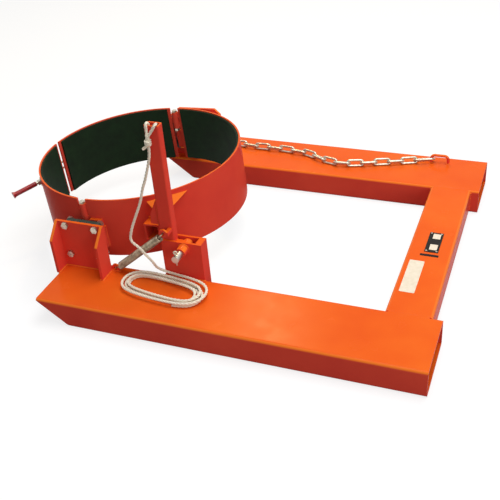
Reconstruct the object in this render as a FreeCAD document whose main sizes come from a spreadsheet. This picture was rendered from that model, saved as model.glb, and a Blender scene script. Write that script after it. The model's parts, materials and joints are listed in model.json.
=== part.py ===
import FreeCAD, Part
import math
import os
import Sketcher
from FreeCAD import Placement, Rotation, Vector
from types import SimpleNamespace

# Drum tipper, in millimetres. +X runs to the fork heels, +Y to the right of an operator who faces
# the drum, +Z up. The origin is the middle of the cross member's underside, on the floor.

# Every driving size, written once. The sheet below holds the same values.
SIZES = {
    # fork pockets and the cross member between them
    "pocket_length": 1046, "pocket_width": 200, "pocket_height": 76, "pocket_wall": 6,
    "pocket_corner": 8, "pocket_clearance": 14.5, "heel_overhang": 20.75,
    "nose_run": 92, "nose_lip": 5, "nose_plate_run": 8,
    "cross_width": 120, "cross_setback": 4, "cross_wall": 6, "cross_corner": 10,
    # trunnion brackets
    "bracket_width": 148, "bracket_overhang": 8, "bracket_rise": 146, "bracket_plate": 8,
    "bracket_inset": 26, "gusset_depth": 42, "gusset_drop": 42, "gusset_plate": 8,
    # flange bearings
    "flange_side": 112, "flange_depth": 15, "flange_corner": 14, "boss_radius": 38, "boss_depth": 13,
    "insert_radius": 31, "collar_radius": 24, "collar_lead": 0.5, "bolt_spacing": 92,
    "bolt_radius": 6, "bolt_play": 0.4, "bolt_head_radius": 10.4, "bolt_head_height": 7.5,
    "bolt_tip": 1, "nut_height": 9.5,
    # drum ring: its trunnion line, its lean and its steel and rubber walls
    "trunnion_setback": 70, "trunnion_height": 165, "ring_lean": 3.1, "ring_back": 19,
    "rim_rise": 105, "ring_height": 177, "ring_radius": 302.5, "shell_wall": 5, "liner_wall": 5,
    "liner_drop": 3, "liner_setback": 10, "hinge_angle": 95.3, "hinge_gap": 27,
    "split_angle": 178, "split_gap": 12,
    # trunnion pads and shafts
    "pad_front": 18.5, "pad_rear": 48, "pad_low": 40, "pad_high": 24, "pad_depth": 10.5,
    "pad_root": 12, "block_front": 10, "block_rear": 46, "block_high": 48, "relief_depth": 4,
    "relief_edge": 5, "shaft_radius": 17.5, "shaft_play": 0.05, "shaft_end_play": 2,
    # door hinges
    "hinge_inset": 2.5, "barrel_radius": 10, "hinge_pin_radius": 5, "hinge_play": 0.05,
    "knuckle_drop": 14, "knuckle_length": 18.5, "knuckle_play": 0.25, "tab_wall": 4.4,
    "pin_head_radius": 9, "pin_head_height": 6, "pin_nut_height": 9,
    # catch on the ring, its gusset and the stop arm on the far side
    "catch_front": 170, "catch_width": 46.4, "catch_high": 42, "catch_height": 50, "catch_wall": 5,
    "catch_clearance": 17, "catch_length": 100, "gusset_wall": 8, "gusset_high": 87,
    "gusset_rear_angle": 38, "gusset_front_angle": 60, "gusset_inset": 4, "gusset_lead": 25,
    "arm_front": 6, "arm_length": 146, "arm_wall": 8, "arm_standoff": 0.5, "arm_high": 104,
    "arm_height": 54, "arm_chamfer": 18, "arm_block_length": 30, "arm_block_margin": 4,
    "arm_block_root": 45,
    # toggle clamp on the doors
    "clamp_drop": 88, "clamp_along": 80, "clamp_stand": 10, "clamp_base_length": 44,
    "clamp_base_width": 40, "clamp_base_wall": 6, "clamp_base_root": 8, "clamp_lug_wall": 6,
    "clamp_lug_radius": 9, "rivet_radius": 4, "fork_play": 0.2, "fork_wall": 3, "fork_radius": 7,
    "fork_length": 28, "fork_block": 10, "handle_angle": 56, "handle_droop_angle": 7.5,
    "shank_radius": 5, "shank_root": 3, "shank_length": 52,
    "grip_radius": 7.5, "grip_start": 6, "grip_length": 70, "flare_radius": 11, "flare_length": 9,
    "link_offset": 14, "link_pin_radius": 3, "link_play": 0.05, "link_wire": 3, "link_half": 10,
    "link_eye_radius": 6, "link_eye_half": 3.4, "link_bend": 5, "bar_along": 52, "bar_stand": 13,
    "keeper_along": 28, "keeper_lip": 14,
    "keeper_high": 9, "keeper_width": 11, "keeper_base": 2, "keeper_base_margin": 8,
    "keeper_base_width": 32, "keeper_root": 12,
    # latch clevis and its pivot pin
    "pivot_setback": 362.25, "pivot_height": 172, "cheek_plate": 6, "cheek_front": 65,
    "cheek_rear": 51, "cheek_top": 190, "back_cheek_low": 20, "web_depth": 18, "latch_play": 0.5,
    "pivot_radius": 10, "pivot_play": 0.05, "latch_boss_radius": 14, "latch_boss_length": 24,
    "pivot_tip": 31, "pivot_head_radius": 14, "pivot_head": 5, "split_radius": 2, "split_play": 0.2,
    "split_inset": 7, "split_up": 14, "split_down": 20, "split_eye_radius": 4.5,
    # latch lever
    "lever_width": 40, "lever_depth": 25, "lever_wall": 4, "lever_corner": 4, "lever_offset": 28,
    "lever_low": 156, "lever_top": 520, "hub_radius": 13.5, "hub_web_wall": 10, "hub_web_height": 24,
    "hook_reach": 25, "hook_low": 231, "hook_high": 303, "hook_brow": 262, "hook_step": 3,
    "hook_wall": 10, "hook_inset": 4.5, "eye_offset": 45, "eye_rise": 52, "eye_bar": 10,
    "eye_bar_lead": 15,
    # extension spring and its lugs
    "spring_stand": 23, "spring_foot_setback": 151.75, "spring_foot_rise": 9, "spring_wire": 3.6,
    "spring_radius": 9.2, "spring_neck": 3, "spring_bend": 4, "spring_seat": 1.1, "lug_radius": 12,
    "lug_hole": 5.5, "lug_wall": 6,
    # safety chain, its ring and its staple
    "link_length": 58, "link_width": 24.5, "chain_wire": 7, "chain_slack": 0.7, "chain_rise": 11.6,
    "chain_roll_angle": 25, "staple_wire": 9, "staple_length": 54, "staple_rise": 26,
    "staple_bend": 12, "staple_setback": 118.75, "staple_side": 157, "staple_play": 0.5,
    "ring_link_length": 70, "ring_link_width": 30,
    # rating plate
    "plate_length": 99, "plate_width": 38, "plate_wall": 1.2, "plate_offset": 10.5,
    "rivet_head_radius": 2.5, "rivet_head_height": 0.8, "rivet_margin": 5,
    # pull rope: its hitch on the lever and its hank on the left pocket
    "rope_diameter": 8, "hitch_radius": 6.3, "hitch_hole": 5.2, "hitch_drop": 23, "hitch_inset": 12,
    "hitch_run": 19, "hitch_rise": 28, "knot_drop": 18, "knot_radius": 5.2, "knot_step": 7.4,
    "knot_stem": 13, "knot_play": 0.3, "knot_tail": 20, "hank_lead": 16,
    # hank: half its straight run, its outermost bend, spacing of loops and layers, and its centre
    "hank_straight": 68, "hank_bend": 57, "hank_step": 9.6, "hank_layer": 8.8, "hank_lift": 4.3,
    "hank_forward": 42, "hank_aside": 75,
    # how far a cutting solid runs past what it cuts
    "overrun": 2,
}
SPRING_TURNS = 40
# where the chain lies: shares of a pocket's length from its front, and of its width from inside
CHAIN_ROUTE_SHARES = (
    (0.1293, 0.595), (0.1675, 0.615), (0.2087, 0.630), (0.2756, 0.595), (0.3301, 0.605),
    (0.3826, 0.590), (0.4371, 0.560), (0.4773, 0.480), (0.5060, 0.400), (0.5461, 0.335),
    (0.5834, 0.335), (0.6178, 0.375), (0.6522, 0.440), (0.6943, 0.515), (0.7364, 0.590),
    (0.7698, 0.655),
)
# the rope's fall from the knot to the hank: real places from the lever's pivot, the pocket's inner
# side and the floor
ROPE_ROUTE = (
    (-56.5, -9, 450), (-62.5, -9.5, 424), (-80, -11, 372), (-90.5, -14, 347), (-99.5, -19, 308.5),
    (-123, -26, 255), (-135, -33, 222), (-140, -37, 194), (-113, -41, 180), (-97.5, -43, 162.5),
    (-76.5, -42, 138.5), (-78, -33, 120), (-72, -21, 103),
)
# the hank in turns of rope from its outermost loop: where the free end is, where it stops winding in,
# and where the fall joins it; it winds out this much faster than in, after a climb between two turns
HANK_FREE_END, HANK_INMOST, HANK_TOP = 0.55, 2.9, 5.0
HANK_OUT_PACE = 1.65
HANK_CLIMB = (2.6, 2.95)
HANK_HEADINGS = (-8, -5)
HANK_SQUARENESS = 2.5
HANK_POINTS_PER_TURN = 20

UP = Vector(0, 0, 1)
ACROSS = Vector(0, 1, 0)
BACK = Vector(1, 0, 0)


class Dim:
    """A length with its value and the sheet formula that it comes from."""

    def __init__(self, value, text):
        self.value = value
        self.text = text

    def __add__(self, other):
        return Dim(self.value + number(other), f"({self.text} + {formula(other)})")

    def __sub__(self, other):
        return Dim(self.value - number(other), f"({self.text} - {formula(other)})")

    def __mul__(self, other):
        return Dim(self.value * number(other), f"({self.text} * {formula(other)})")

    def __truediv__(self, other):
        return Dim(self.value / number(other), f"({self.text} / {formula(other)})")

    def __neg__(self):
        return Dim(-self.value, f"(0 - {self.text})")

    def __float__(self):
        return float(self.value)


def number(length):
    return length.value if isinstance(length, Dim) else length


def formula(length):
    return length.text if isinstance(length, Dim) else f"{length:.9f}"


def vector(x, y, z):
    return Vector(number(x), number(y), number(z))


doc = FreeCAD.newDocument("drum_tipper")
sheet = doc.addObject("Spreadsheet::Sheet", "Sizes")
for row, (name, value) in enumerate(SIZES.items(), 1):
    sheet.set(f"A{row}", name)
    sheet.set(f"B{row}", str(value))
    sheet.setAlias(f"B{row}", name)
doc.recompute()
s = SimpleNamespace(**{name: Dim(value, "Sizes." + name) for name, value in SIZES.items()})
nodes = {}


def bind(item, **lengths):
    """Set properties from the sheet."""
    for key, length in lengths.items():
        if isinstance(length, Dim):
            item.setExpression(key, length.text)
        else:
            setattr(item, key, length)


def put(item, x, y, z):
    """Place an item by its corner or foot, from the sheet."""
    for axis, length in zip("xyz", (x, y, z)):
        if isinstance(length, Dim):
            item.setExpression(f"Placement.Base.{axis}", length.text)


def box(x, y, z, length, width, height):
    item = doc.addObject("Part::Box", "block")
    bind(item, Length=length, Width=width, Height=height)
    put(item, x, y, z)
    return item


def rod(x, y, z, radius, height, along=UP):
    item = doc.addObject("Part::Cylinder", "rod")
    bind(item, Radius=radius, Height=height)
    item.Placement = Placement(Vector(0, 0, 0), Rotation(UP, along))
    put(item, x, y, z)
    return item


def hexagon(x, y, z, radius, height, along=UP):
    item = doc.addObject("Part::Prism", "hexagon")
    item.Polygon = 6
    bind(item, Circumradius=radius, Height=height)
    item.Placement = Placement(Vector(0, 0, 0), Rotation(UP, along))
    put(item, x, y, z)
    return item


def cut(base, *tools):
    for tool in tools:
        item = doc.addObject("Part::Cut", "cut")
        item.Base = base
        item.Tool = tool
        base = item
    return base


def fuse(*items):
    item = doc.addObject("Part::MultiFuse", "joined")
    item.Shapes = list(items)
    item.Refine = True
    return item


def group(items):
    item = doc.addObject("Part::Compound", "group")
    item.Links = list(items)
    return item


def rounded(base, radius, along):
    """Round the edges of a block that run along one direction."""
    doc.recompute()
    item = doc.addObject("Part::Fillet", "rounded")
    item.Base = base
    picked = []
    for index, edge in enumerate(base.Shape.Edges, 1):
        if edge.tangentAt(edge.FirstParameter).cross(along).Length < 0.01:
            picked.append((index, number(radius), number(radius)))
    item.Edges = picked
    return item


def plate(name, outline, wall, place):
    """A flat plate: a fully dimensioned outline, padded by the wall."""
    body = doc.addObject("PartDesign::Body", name + "_plate")
    sketch = body.newObject("Sketcher::SketchObject", name + "_outline")
    flat = [item for item in body.Origin.OriginFeatures if item.Role == "XY_Plane"][0]
    sketch.AttachmentSupport = [(flat, "")]
    sketch.MapMode = "FlatFace"
    corners = [vector(x, y, 0) for x, y in outline]
    for start, end in zip(corners, corners[1:] + corners[:1]):
        sketch.addGeometry(Part.LineSegment(start, end), False)
    for index in range(len(corners)):
        following = (index + 1) % len(corners)
        sketch.addConstraint(Sketcher.Constraint("Coincident", index, 2, following, 1))
    for index, point in enumerate(outline):
        for kind, length in zip(("DistanceX", "DistanceY"), point):
            code = sketch.addConstraint(Sketcher.Constraint(kind, -1, 1, index, 1, number(length)))
            if isinstance(length, Dim):
                sketch.setExpression(f"Constraints[{code}]", length.text)
    pad = body.newObject("PartDesign::Pad", name + "_pad")
    pad.Profile = sketch
    bind(pad, Length=wall)
    sketch.Visibility = False
    body.Placement = place
    return body


def tube_along(wire, radius, start, tangent):
    """A solid round tube along a wire."""
    ring = Part.Wire(Part.Circle(start, tangent, number(radius)).toShape())
    shape = wire.makePipeShell([ring], True, False)
    return Part.Solid(shape) if shape.ShapeType == "Shell" else shape


def axes(corner, first, second):
    """A placement whose X and Y run along two given directions."""
    return Placement(corner, Rotation(first, second, first.cross(second), "XYZ"))


def keep(name, item, place=None):
    if place is not None:
        if any("Placement" in key for key, text in item.ExpressionEngine):
            item = group([item])
        item.Placement = place.multiply(item.Placement)
    item.Label = name
    nodes[name] = item


def keep_shape(name, shape):
    item = doc.addObject("Part::Feature", name)
    item.Shape = shape
    keep(name, item)


def lower(side, near, far):
    """The smaller Y of a span that lies between two distances from the middle."""
    return near if side > 0 else -far


SIDES = (("left", -1), ("right", 1))
overrun = s.overrun
rear = s.cross_width / 2 + s.heel_overhang
front = rear - s.pocket_length
inner = s.ring_radius + s.pocket_clearance
outer = inner + s.pocket_width
top = s.pocket_height

# fork pockets: tubes with an undercut nose that a sloping plate closes
slope_height = top - s.nose_lip
for label, side in SIDES:
    low_y = lower(side, inner, outer)
    solid = rounded(box(front, low_y, 0, s.pocket_length, s.pocket_width, top), s.pocket_corner, BACK)
    hollow = box(front - overrun, low_y + s.pocket_wall, s.pocket_wall,
                 s.pocket_length + overrun * 2, s.pocket_width - s.pocket_wall * 2,
                 top - s.pocket_wall * 2)
    undercut = plate(label + "_nose_cut", (
        (front - overrun, -overrun), (front + s.nose_run, -overrun), (front + s.nose_run, 0),
        (front, slope_height), (front - overrun, slope_height)),
        s.pocket_width + overrun * 2,
        axes(vector(0, low_y + s.pocket_width + overrun, 0), BACK, UP))
    keep(label + "_fork_pocket", cut(solid, hollow, undercut))
    per_height = s.nose_run / slope_height
    foot_x = front + per_height * (slope_height - s.pocket_wall)
    head_x = front + per_height * (s.pocket_wall - s.nose_lip)
    nose = plate(label + "_nose", (
        (foot_x, s.pocket_wall), (foot_x + s.nose_plate_run, s.pocket_wall),
        (head_x + s.nose_plate_run, top - s.pocket_wall), (head_x, top - s.pocket_wall)),
        s.pocket_width - s.pocket_wall * 2,
        axes(vector(0, low_y + s.pocket_width - s.pocket_wall, 0), BACK, UP))
    keep(label + "_nose_plate", nose)

cross_x = -s.cross_width / 2 - s.cross_setback
solid = rounded(box(cross_x, -inner, 0, s.cross_width, inner * 2, top), s.cross_corner, ACROSS)
hollow = box(cross_x + s.cross_wall, -inner - overrun, s.cross_wall,
             s.cross_width - s.cross_wall * 2, (inner + overrun) * 2, top - s.cross_wall * 2)
keep("cross_member", cut(solid, hollow))

# trunnion brackets, with the flange bearings bolted to their inner faces
trunnion_x = front + s.trunnion_setback
trunnion_z = s.trunnion_height
bracket_face = inner + s.bracket_inset
flange_face = bracket_face - s.flange_depth
boss_face = flange_face - s.boss_depth
bracket_x = front - s.bracket_overhang
half_spacing = s.bolt_spacing / 2
bolt_places = [(trunnion_x + half_spacing * a, trunnion_z + half_spacing * b)
               for a in (-1, 1) for b in (-1, 1)]
bolts = []
nuts = []
for label, side in SIDES:
    outward = ACROSS * side
    wall_y = lower(side, bracket_face, bracket_face + s.bracket_plate)
    pieces = [box(bracket_x, wall_y, top, s.bracket_width, s.bracket_plate, s.bracket_rise)]
    gusset_outline = ((0, 0), (s.gusset_depth, 0), (s.gusset_depth, s.bracket_rise - s.gusset_drop),
                      (0, s.bracket_rise))
    for x in (bracket_x, bracket_x + s.bracket_width - s.gusset_plate):
        start_x = x if side > 0 else x + s.gusset_plate
        gusset = plate(label + "_gusset", gusset_outline, s.gusset_plate,
                       axes(vector(start_x, (bracket_face + s.bracket_plate) * side, top),
                            outward, UP))
        pieces.append(gusset)
    holes = [rod(x, (bracket_face - overrun) * side, z, s.bolt_radius + s.bolt_play,
                 s.bracket_plate + overrun * 2, outward) for x, z in bolt_places]
    keep(label + "_trunnion_bracket", cut(fuse(*pieces), *holes))

    flange = rounded(box(trunnion_x - s.flange_side / 2, lower(side, flange_face, bracket_face),
                         trunnion_z - s.flange_side / 2, s.flange_side, s.flange_depth,
                         s.flange_side), s.flange_corner, ACROSS)
    boss = rod(trunnion_x, boss_face * side, trunnion_z, s.boss_radius,
               s.boss_depth + s.flange_depth, outward)
    bore = rod(trunnion_x, (boss_face - overrun) * side, trunnion_z, s.insert_radius,
               s.boss_depth + s.flange_depth + overrun * 2, outward)
    holes = [rod(x, (flange_face - overrun) * side, z, s.bolt_radius + s.bolt_play,
                 s.flange_depth + overrun * 2, outward) for x, z in bolt_places]
    keep(label + "_bearing_housing", cut(fuse(flange, boss), bore, *holes))

    insert_depth = s.boss_depth + s.flange_depth
    race = rod(trunnion_x, boss_face * side, trunnion_z, s.insert_radius, insert_depth, outward)
    collar = rod(trunnion_x, (boss_face - s.collar_lead) * side, trunnion_z, s.collar_radius,
                 insert_depth + s.collar_lead, outward)
    bore = rod(trunnion_x, (boss_face - overrun) * side, trunnion_z, s.shaft_radius + s.shaft_play,
               insert_depth + overrun * 2, outward)
    keep(label + "_bearing_insert", cut(fuse(race, collar), bore))

    nut_face = flange_face - s.nut_height
    shank = s.bolt_tip + s.nut_height + s.flange_depth + s.bracket_plate
    for x, z in bolt_places:
        head_y = (bracket_face + s.bracket_plate) * side
        bolts.append(fuse(
            rod(x, (nut_face - s.bolt_tip) * side, z, s.bolt_radius, shank, outward),
            hexagon(x, head_y, z, s.bolt_head_radius, s.bolt_head_height, outward)))
        nuts.append(cut(
            hexagon(x, nut_face * side, z, s.bolt_head_radius, s.nut_height, outward),
            rod(x, (nut_face - overrun) * side, z, s.bolt_radius, s.nut_height + overrun * 2, outward)))
keep("bearing_bolts", group(bolts))
keep("bearing_nuts", group(nuts))

# drum ring, built about its own trunnion line and leaned as one
ring_place = Placement(vector(trunnion_x, 0, trunnion_z), Rotation(ACROSS, -number(s.ring_lean)))
ring_x = s.ring_back
ring_low = s.rim_rise - s.ring_height
hinge_angle = number(s.hinge_angle)


def turn_of(length):
    """The angle in degrees that a length takes up along the ring."""
    return math.degrees(number(length) / number(s.ring_radius))


def segment(start, end, outside, wall, foot, height):
    """A part of the ring's wall between two angles."""
    arc = rod(ring_x, 0, foot, outside, height)
    arc.Angle = end - start
    arc.Placement = Placement(arc.Placement.Base, Rotation(UP, start))
    return cut(arc, rod(ring_x, 0, foot - overrun, outside - wall, height + overrun * 2))


def ring_core(foot, height):
    return rod(ring_x, 0, foot, s.ring_radius, height)


rear_end = hinge_angle - turn_of(s.hinge_gap / 2)
door_start = hinge_angle + turn_of(s.hinge_gap / 2)
split_half = turn_of(s.split_gap / 2)
liner_turn = turn_of(s.liner_setback)
split = number(s.split_angle)
SPANS = (("rear_ring", -rear_end, rear_end),
         ("right_door", door_start, split - split_half),
         ("left_door", split + split_half, 360 - door_start))
for label, start, end in SPANS:
    keep(label + "_shell", segment(start, end, s.ring_radius, s.shell_wall, ring_low, s.ring_height),
         ring_place)
    keep(label + "_liner", segment(start + liner_turn, end - liner_turn, s.ring_radius - s.shell_wall,
                                   s.liner_wall, ring_low, s.ring_height - s.liner_drop), ring_place)

# trunnion pads welded to the rear shell, and their shafts
pad_face = s.ring_radius + s.pad_depth
for label, side in SIDES:
    root = s.ring_radius - s.pad_root
    slab = box(-s.pad_front, lower(side, root, pad_face), -s.pad_low, s.pad_front + s.pad_rear,
               pad_face - root, s.pad_low + s.pad_high)
    block = box(s.block_front, lower(side, root, pad_face), s.pad_high, s.block_rear - s.block_front,
                pad_face - root, s.block_high - s.pad_high)
    relief_face = s.ring_radius + s.relief_depth
    relief = box(-s.pad_front - overrun, lower(side, root - overrun, relief_face), -s.pad_low - overrun,
                 s.pad_front + s.relief_edge + overrun, relief_face - root + overrun,
                 s.pad_low + s.pad_high + overrun * 2)
    core = ring_core(-s.pad_low - overrun, s.pad_low + s.block_high + overrun * 2)
    keep(label + "_trunnion_pad", cut(fuse(slab, block), core, relief), ring_place)
    shaft = rod(0, pad_face * side, 0, s.shaft_radius,
                bracket_face - s.shaft_end_play - pad_face, ACROSS * side)
    keep(label + "_trunnion_shaft", shaft, ring_place)

# door hinges: two knuckles on the rear shell, one on each door, on a bolt
hinge_radius = s.ring_radius - s.hinge_inset
knuckle_top = s.rim_rise - s.knuckle_drop
knuckle_pitch = s.knuckle_length + s.knuckle_play
stack_low = knuckle_top - knuckle_pitch * 2 - s.knuckle_length
tab_outside = s.ring_radius - (s.shell_wall - s.tab_wall) / 2
hinge_nuts = []
for label, side in SIDES:
    swing = math.radians(hinge_angle)
    hinge_x = ring_x + hinge_radius * math.cos(swing)
    hinge_y = hinge_radius * (math.sin(swing) * side)
    bore = rod(hinge_x, hinge_y, stack_low - overrun, s.hinge_pin_radius + s.hinge_play,
               knuckle_top - stack_low + overrun * 2)
    rear_pieces = []
    for step in (0, 2):
        foot = stack_low + knuckle_pitch * step
        rear_pieces.append(rod(hinge_x, hinge_y, foot, s.barrel_radius, s.knuckle_length))
        span = sorted((rear_end * side, hinge_angle * side))
        rear_pieces.append(segment(span[0], span[1], tab_outside, s.tab_wall, foot, s.knuckle_length))
    rear_knuckles = [cut(fuse(*rear_pieces[:2]), bore), cut(fuse(*rear_pieces[2:]), bore)]
    keep(label + "_ring_knuckles", group(rear_knuckles), ring_place)
    foot = stack_low + knuckle_pitch
    span = sorted((door_start * side, hinge_angle * side))
    tab = segment(span[0], span[1], tab_outside, s.tab_wall, foot, s.knuckle_length)
    barrel = rod(hinge_x, hinge_y, foot, s.barrel_radius, s.knuckle_length)
    keep(label + "_door_knuckle", cut(fuse(barrel, tab), bore), ring_place)
    nut_low = stack_low - s.pin_nut_height
    pin = fuse(rod(hinge_x, hinge_y, nut_low, s.hinge_pin_radius, knuckle_top - nut_low),
               hexagon(hinge_x, hinge_y, knuckle_top, s.pin_head_radius, s.pin_head_height))
    keep(label + "_hinge_pin", pin, ring_place)
    hinge_nuts.append(cut(hexagon(hinge_x, hinge_y, nut_low, s.pin_head_radius, s.pin_nut_height),
                          rod(hinge_x, hinge_y, nut_low - overrun, s.hinge_pin_radius,
                              s.pin_nut_height + overrun * 2)))
keep("hinge_pin_nuts", group(hinge_nuts), ring_place)

# catch stub and its gusset on the near side, stop arm on the far side
catch_low = s.catch_high - s.catch_height
catch_reach = inner - s.catch_clearance
catch_block = box(s.catch_front, -catch_reach, catch_low, s.catch_width, s.catch_length,
                  s.catch_height)
catch_hollow = box(s.catch_front + s.catch_wall, -catch_reach - overrun, catch_low + s.catch_wall,
                   s.catch_width - s.catch_wall * 2, s.catch_length + overrun * 2,
                   s.catch_height - s.catch_wall * 2)
keep("catch_stub", cut(catch_block, catch_hollow, ring_core(catch_low - overrun,
                                                            s.catch_height + overrun * 2)), ring_place)


def wall_point(angle, height):
    turn = math.radians(-number(angle))
    return vector(ring_x + s.ring_radius * math.cos(turn), s.ring_radius * math.sin(turn), height)


gusset_rear = wall_point(s.gusset_rear_angle, s.gusset_high)
gusset_front = wall_point(s.gusset_front_angle, s.gusset_high)
gusset_tip = vector(s.catch_front + s.catch_width - s.gusset_inset, -catch_reach + s.gusset_lead,
                    s.catch_high + s.gusset_inset)
along = (gusset_front - gusset_rear).normalize()
rise = (gusset_tip - gusset_rear) - along * along.dot(gusset_tip - gusset_rear)
drop = rise.Length
shift = along.dot(gusset_tip - gusset_rear)
chord = (gusset_front - gusset_rear).Length
gusset_plate = plate("catch_gusset", ((0, 0), (chord, 0), (shift, drop)), s.gusset_wall,
                     axes(gusset_rear, along, rise.normalize()))
gusset_core = ring_core(catch_low, s.ring_height)
keep("catch_gusset", cut(gusset_plate, gusset_core, catch_block), ring_place)

arm_face = s.ring_radius + s.arm_standoff
arm_low = s.arm_high - s.arm_height
arm_plate = plate("stop_arm", (
    (s.arm_front, arm_low), (s.arm_front + s.arm_length, arm_low),
    (s.arm_front + s.arm_length, s.arm_high - s.arm_chamfer),
    (s.arm_front + s.arm_length - s.arm_chamfer, s.arm_high), (s.arm_front, s.arm_high)),
    s.arm_wall, axes(vector(0, arm_face + s.arm_wall, 0), BACK, UP))
arm_blocks = []
for x in (s.arm_front + s.arm_block_margin,
          s.arm_front + s.arm_length - s.arm_block_margin - s.arm_block_length):
    arm_blocks.append(box(x, arm_face - s.arm_block_root, arm_low, s.arm_block_length,
                          s.arm_block_root, s.arm_height - s.arm_chamfer))
keep("far_stop_arm", cut(fuse(arm_plate, *arm_blocks), ring_core(ring_low, s.ring_height)), ring_place)

# toggle clamp, in a frame on the ring's wall at the split: X out of the ring, Y to the left door
split_turn = math.radians(split)
clamp_place = ring_place.multiply(Placement(
    vector(ring_x + s.ring_radius * math.cos(split_turn), s.ring_radius * math.sin(split_turn),
           s.rim_rise - s.clamp_drop), Rotation(UP, split)))
base_turn = math.atan2(number(s.clamp_along), number(s.ring_radius + s.clamp_stand))
base_place = clamp_place.multiply(Placement(vector(-s.ring_radius, 0, 0), Rotation(UP, 0)))
base_place = base_place.multiply(Placement(Vector(0, 0, 0), Rotation(UP, math.degrees(base_turn))))
pivot_radial = math.hypot(number(s.clamp_along), number(s.ring_radius + s.clamp_stand))
pivot_radial = s.ring_radius * (pivot_radial / number(s.ring_radius))
half_width = s.clamp_base_width / 2
half_lug = s.clamp_lug_wall / 2
foot_plate = box(s.ring_radius - s.clamp_base_root, -s.clamp_base_length / 2, -half_width,
                 s.clamp_base_root + s.clamp_base_wall, s.clamp_base_length, s.clamp_base_width)
lug = box(s.ring_radius, -s.clamp_lug_radius, -half_lug, pivot_radial - s.ring_radius,
          s.clamp_lug_radius * 2, s.clamp_lug_wall)
lug_end = rod(pivot_radial, 0, -half_lug, s.clamp_lug_radius, s.clamp_lug_wall)
lug_core = rod(0, 0, -half_width - overrun, s.ring_radius, s.clamp_base_width + overrun * 2)
fork_outside = half_lug + s.fork_play + s.fork_wall
rivet_hole = rod(pivot_radial, 0, -fork_outside, s.rivet_radius, fork_outside * 2)
keep("clamp_base", cut(fuse(foot_plate, lug, lug_end), lug_core, rivet_hole), base_place)
rivet_half = fork_outside + s.fork_play
keep("clamp_rivet", rod(pivot_radial, 0, -rivet_half, s.rivet_radius, rivet_half * 2), base_place)

# handle: two fork plates, a block and a drooping shank, turned out from the ring
handle_place = clamp_place.multiply(Placement(vector(s.clamp_stand, s.clamp_along, 0),
                                              Rotation(UP, number(s.handle_angle))))
fork = []
for foot in (half_lug + s.fork_play, -fork_outside):
    fork.append(box(0, -s.fork_radius, foot, s.fork_length, s.fork_radius * 2, s.fork_wall))
    fork.append(rod(0, 0, foot, s.fork_radius, s.fork_wall))
block_x = s.fork_length - s.fork_block
fork.append(box(block_x, -s.fork_radius, -fork_outside, s.fork_block, s.fork_radius * 2,
                fork_outside * 2))
droop = math.radians(number(s.handle_droop_angle))
shank_line = Vector(math.cos(droop), 0, -math.sin(droop))


def on_shank(run, radius, length):
    """A rod along the shank, from a distance past the fork."""
    return rod(s.fork_length + run * math.cos(droop), 0, run * -math.sin(droop), radius, length, shank_line)


fork.append(on_shank(-s.shank_root, s.shank_radius, s.shank_root + s.shank_length))
rivet_bore = rod(0, 0, -fork_outside - overrun, s.rivet_radius + s.link_play,
                 (fork_outside + overrun) * 2)
link_pin_hole = rod(s.link_offset, 0, -fork_outside - overrun, s.link_pin_radius,
                    (fork_outside + overrun) * 2)
keep("clamp_handle_arm", cut(fuse(*fork), rivet_bore, link_pin_hole), handle_place)
link_pin_half = s.link_half + s.link_eye_half + s.fork_play
keep("clamp_link_pin", rod(s.link_offset, 0, -link_pin_half, s.link_pin_radius, link_pin_half * 2),
     handle_place)
flare = doc.addObject("Part::Cone", "flare")
bind(flare, Radius1=s.grip_radius, Radius2=s.flare_radius, Height=s.flare_length)
flare.Placement = Placement(Vector(0, 0, 0), Rotation(UP, shank_line))
grip_end = s.grip_start + s.grip_length
put(flare, s.fork_length + grip_end * math.cos(droop), 0, grip_end * -math.sin(droop))
sleeve = on_shank(s.grip_start, s.grip_radius, s.grip_length)
shank_hole = on_shank(-s.shank_root, s.shank_radius, s.shank_root + s.shank_length)
keep("clamp_handle_grip", cut(fuse(sleeve, flare), shank_hole), handle_place)

# wire link: eyes on the handle's pin, two legs and a bar that drops behind the keeper
lean = math.radians(number(s.handle_angle))
pin_out = s.clamp_stand + s.link_offset * math.cos(lean)
pin_along = s.clamp_along + s.link_offset * math.sin(lean)
leg_out = number(s.bar_stand - pin_out)
leg_along = number(-s.bar_along - pin_along)
leg_length = s.link_offset * (math.hypot(leg_out, leg_along) / number(s.link_offset))
link_place = clamp_place.multiply(Placement(
    vector(pin_out, pin_along, 0), Rotation(UP, math.degrees(math.atan2(leg_along, leg_out)))))
half = number(s.link_half)
bend = number(s.link_bend)
end_x = number(leg_length)
bow = bend * (1 - math.sqrt(0.5))
legs = [Vector(0, 0, -half), Vector(end_x - bend, 0, -half), Vector(end_x, 0, bend - half),
        Vector(end_x, 0, half - bend), Vector(end_x - bend, 0, half), Vector(0, 0, half)]
bows = [Vector(end_x - bow, 0, bow - half), Vector(end_x - bow, 0, half - bow)]
link_path = Part.Wire([
    Part.LineSegment(legs[0], legs[1]).toShape(), Part.Arc(legs[1], bows[0], legs[2]).toShape(),
    Part.LineSegment(legs[2], legs[3]).toShape(), Part.Arc(legs[3], bows[1], legs[4]).toShape(),
    Part.LineSegment(legs[4], legs[5]).toShape()])
link_wire = doc.addObject("Part::Feature", "link_wire")
link_wire.Shape = tube_along(link_path, s.link_wire, legs[0], BACK)
link = [link_wire]
for side in (-1, 1):
    link.append(rod(0, 0, s.link_half * side - s.link_eye_half, s.link_eye_radius, s.link_eye_half * 2))
eye_bore = rod(0, 0, -link_pin_half - overrun, s.link_pin_radius + s.link_play,
               (link_pin_half + overrun) * 2)
keep("clamp_link", cut(fuse(*link), eye_bore), link_place)

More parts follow.
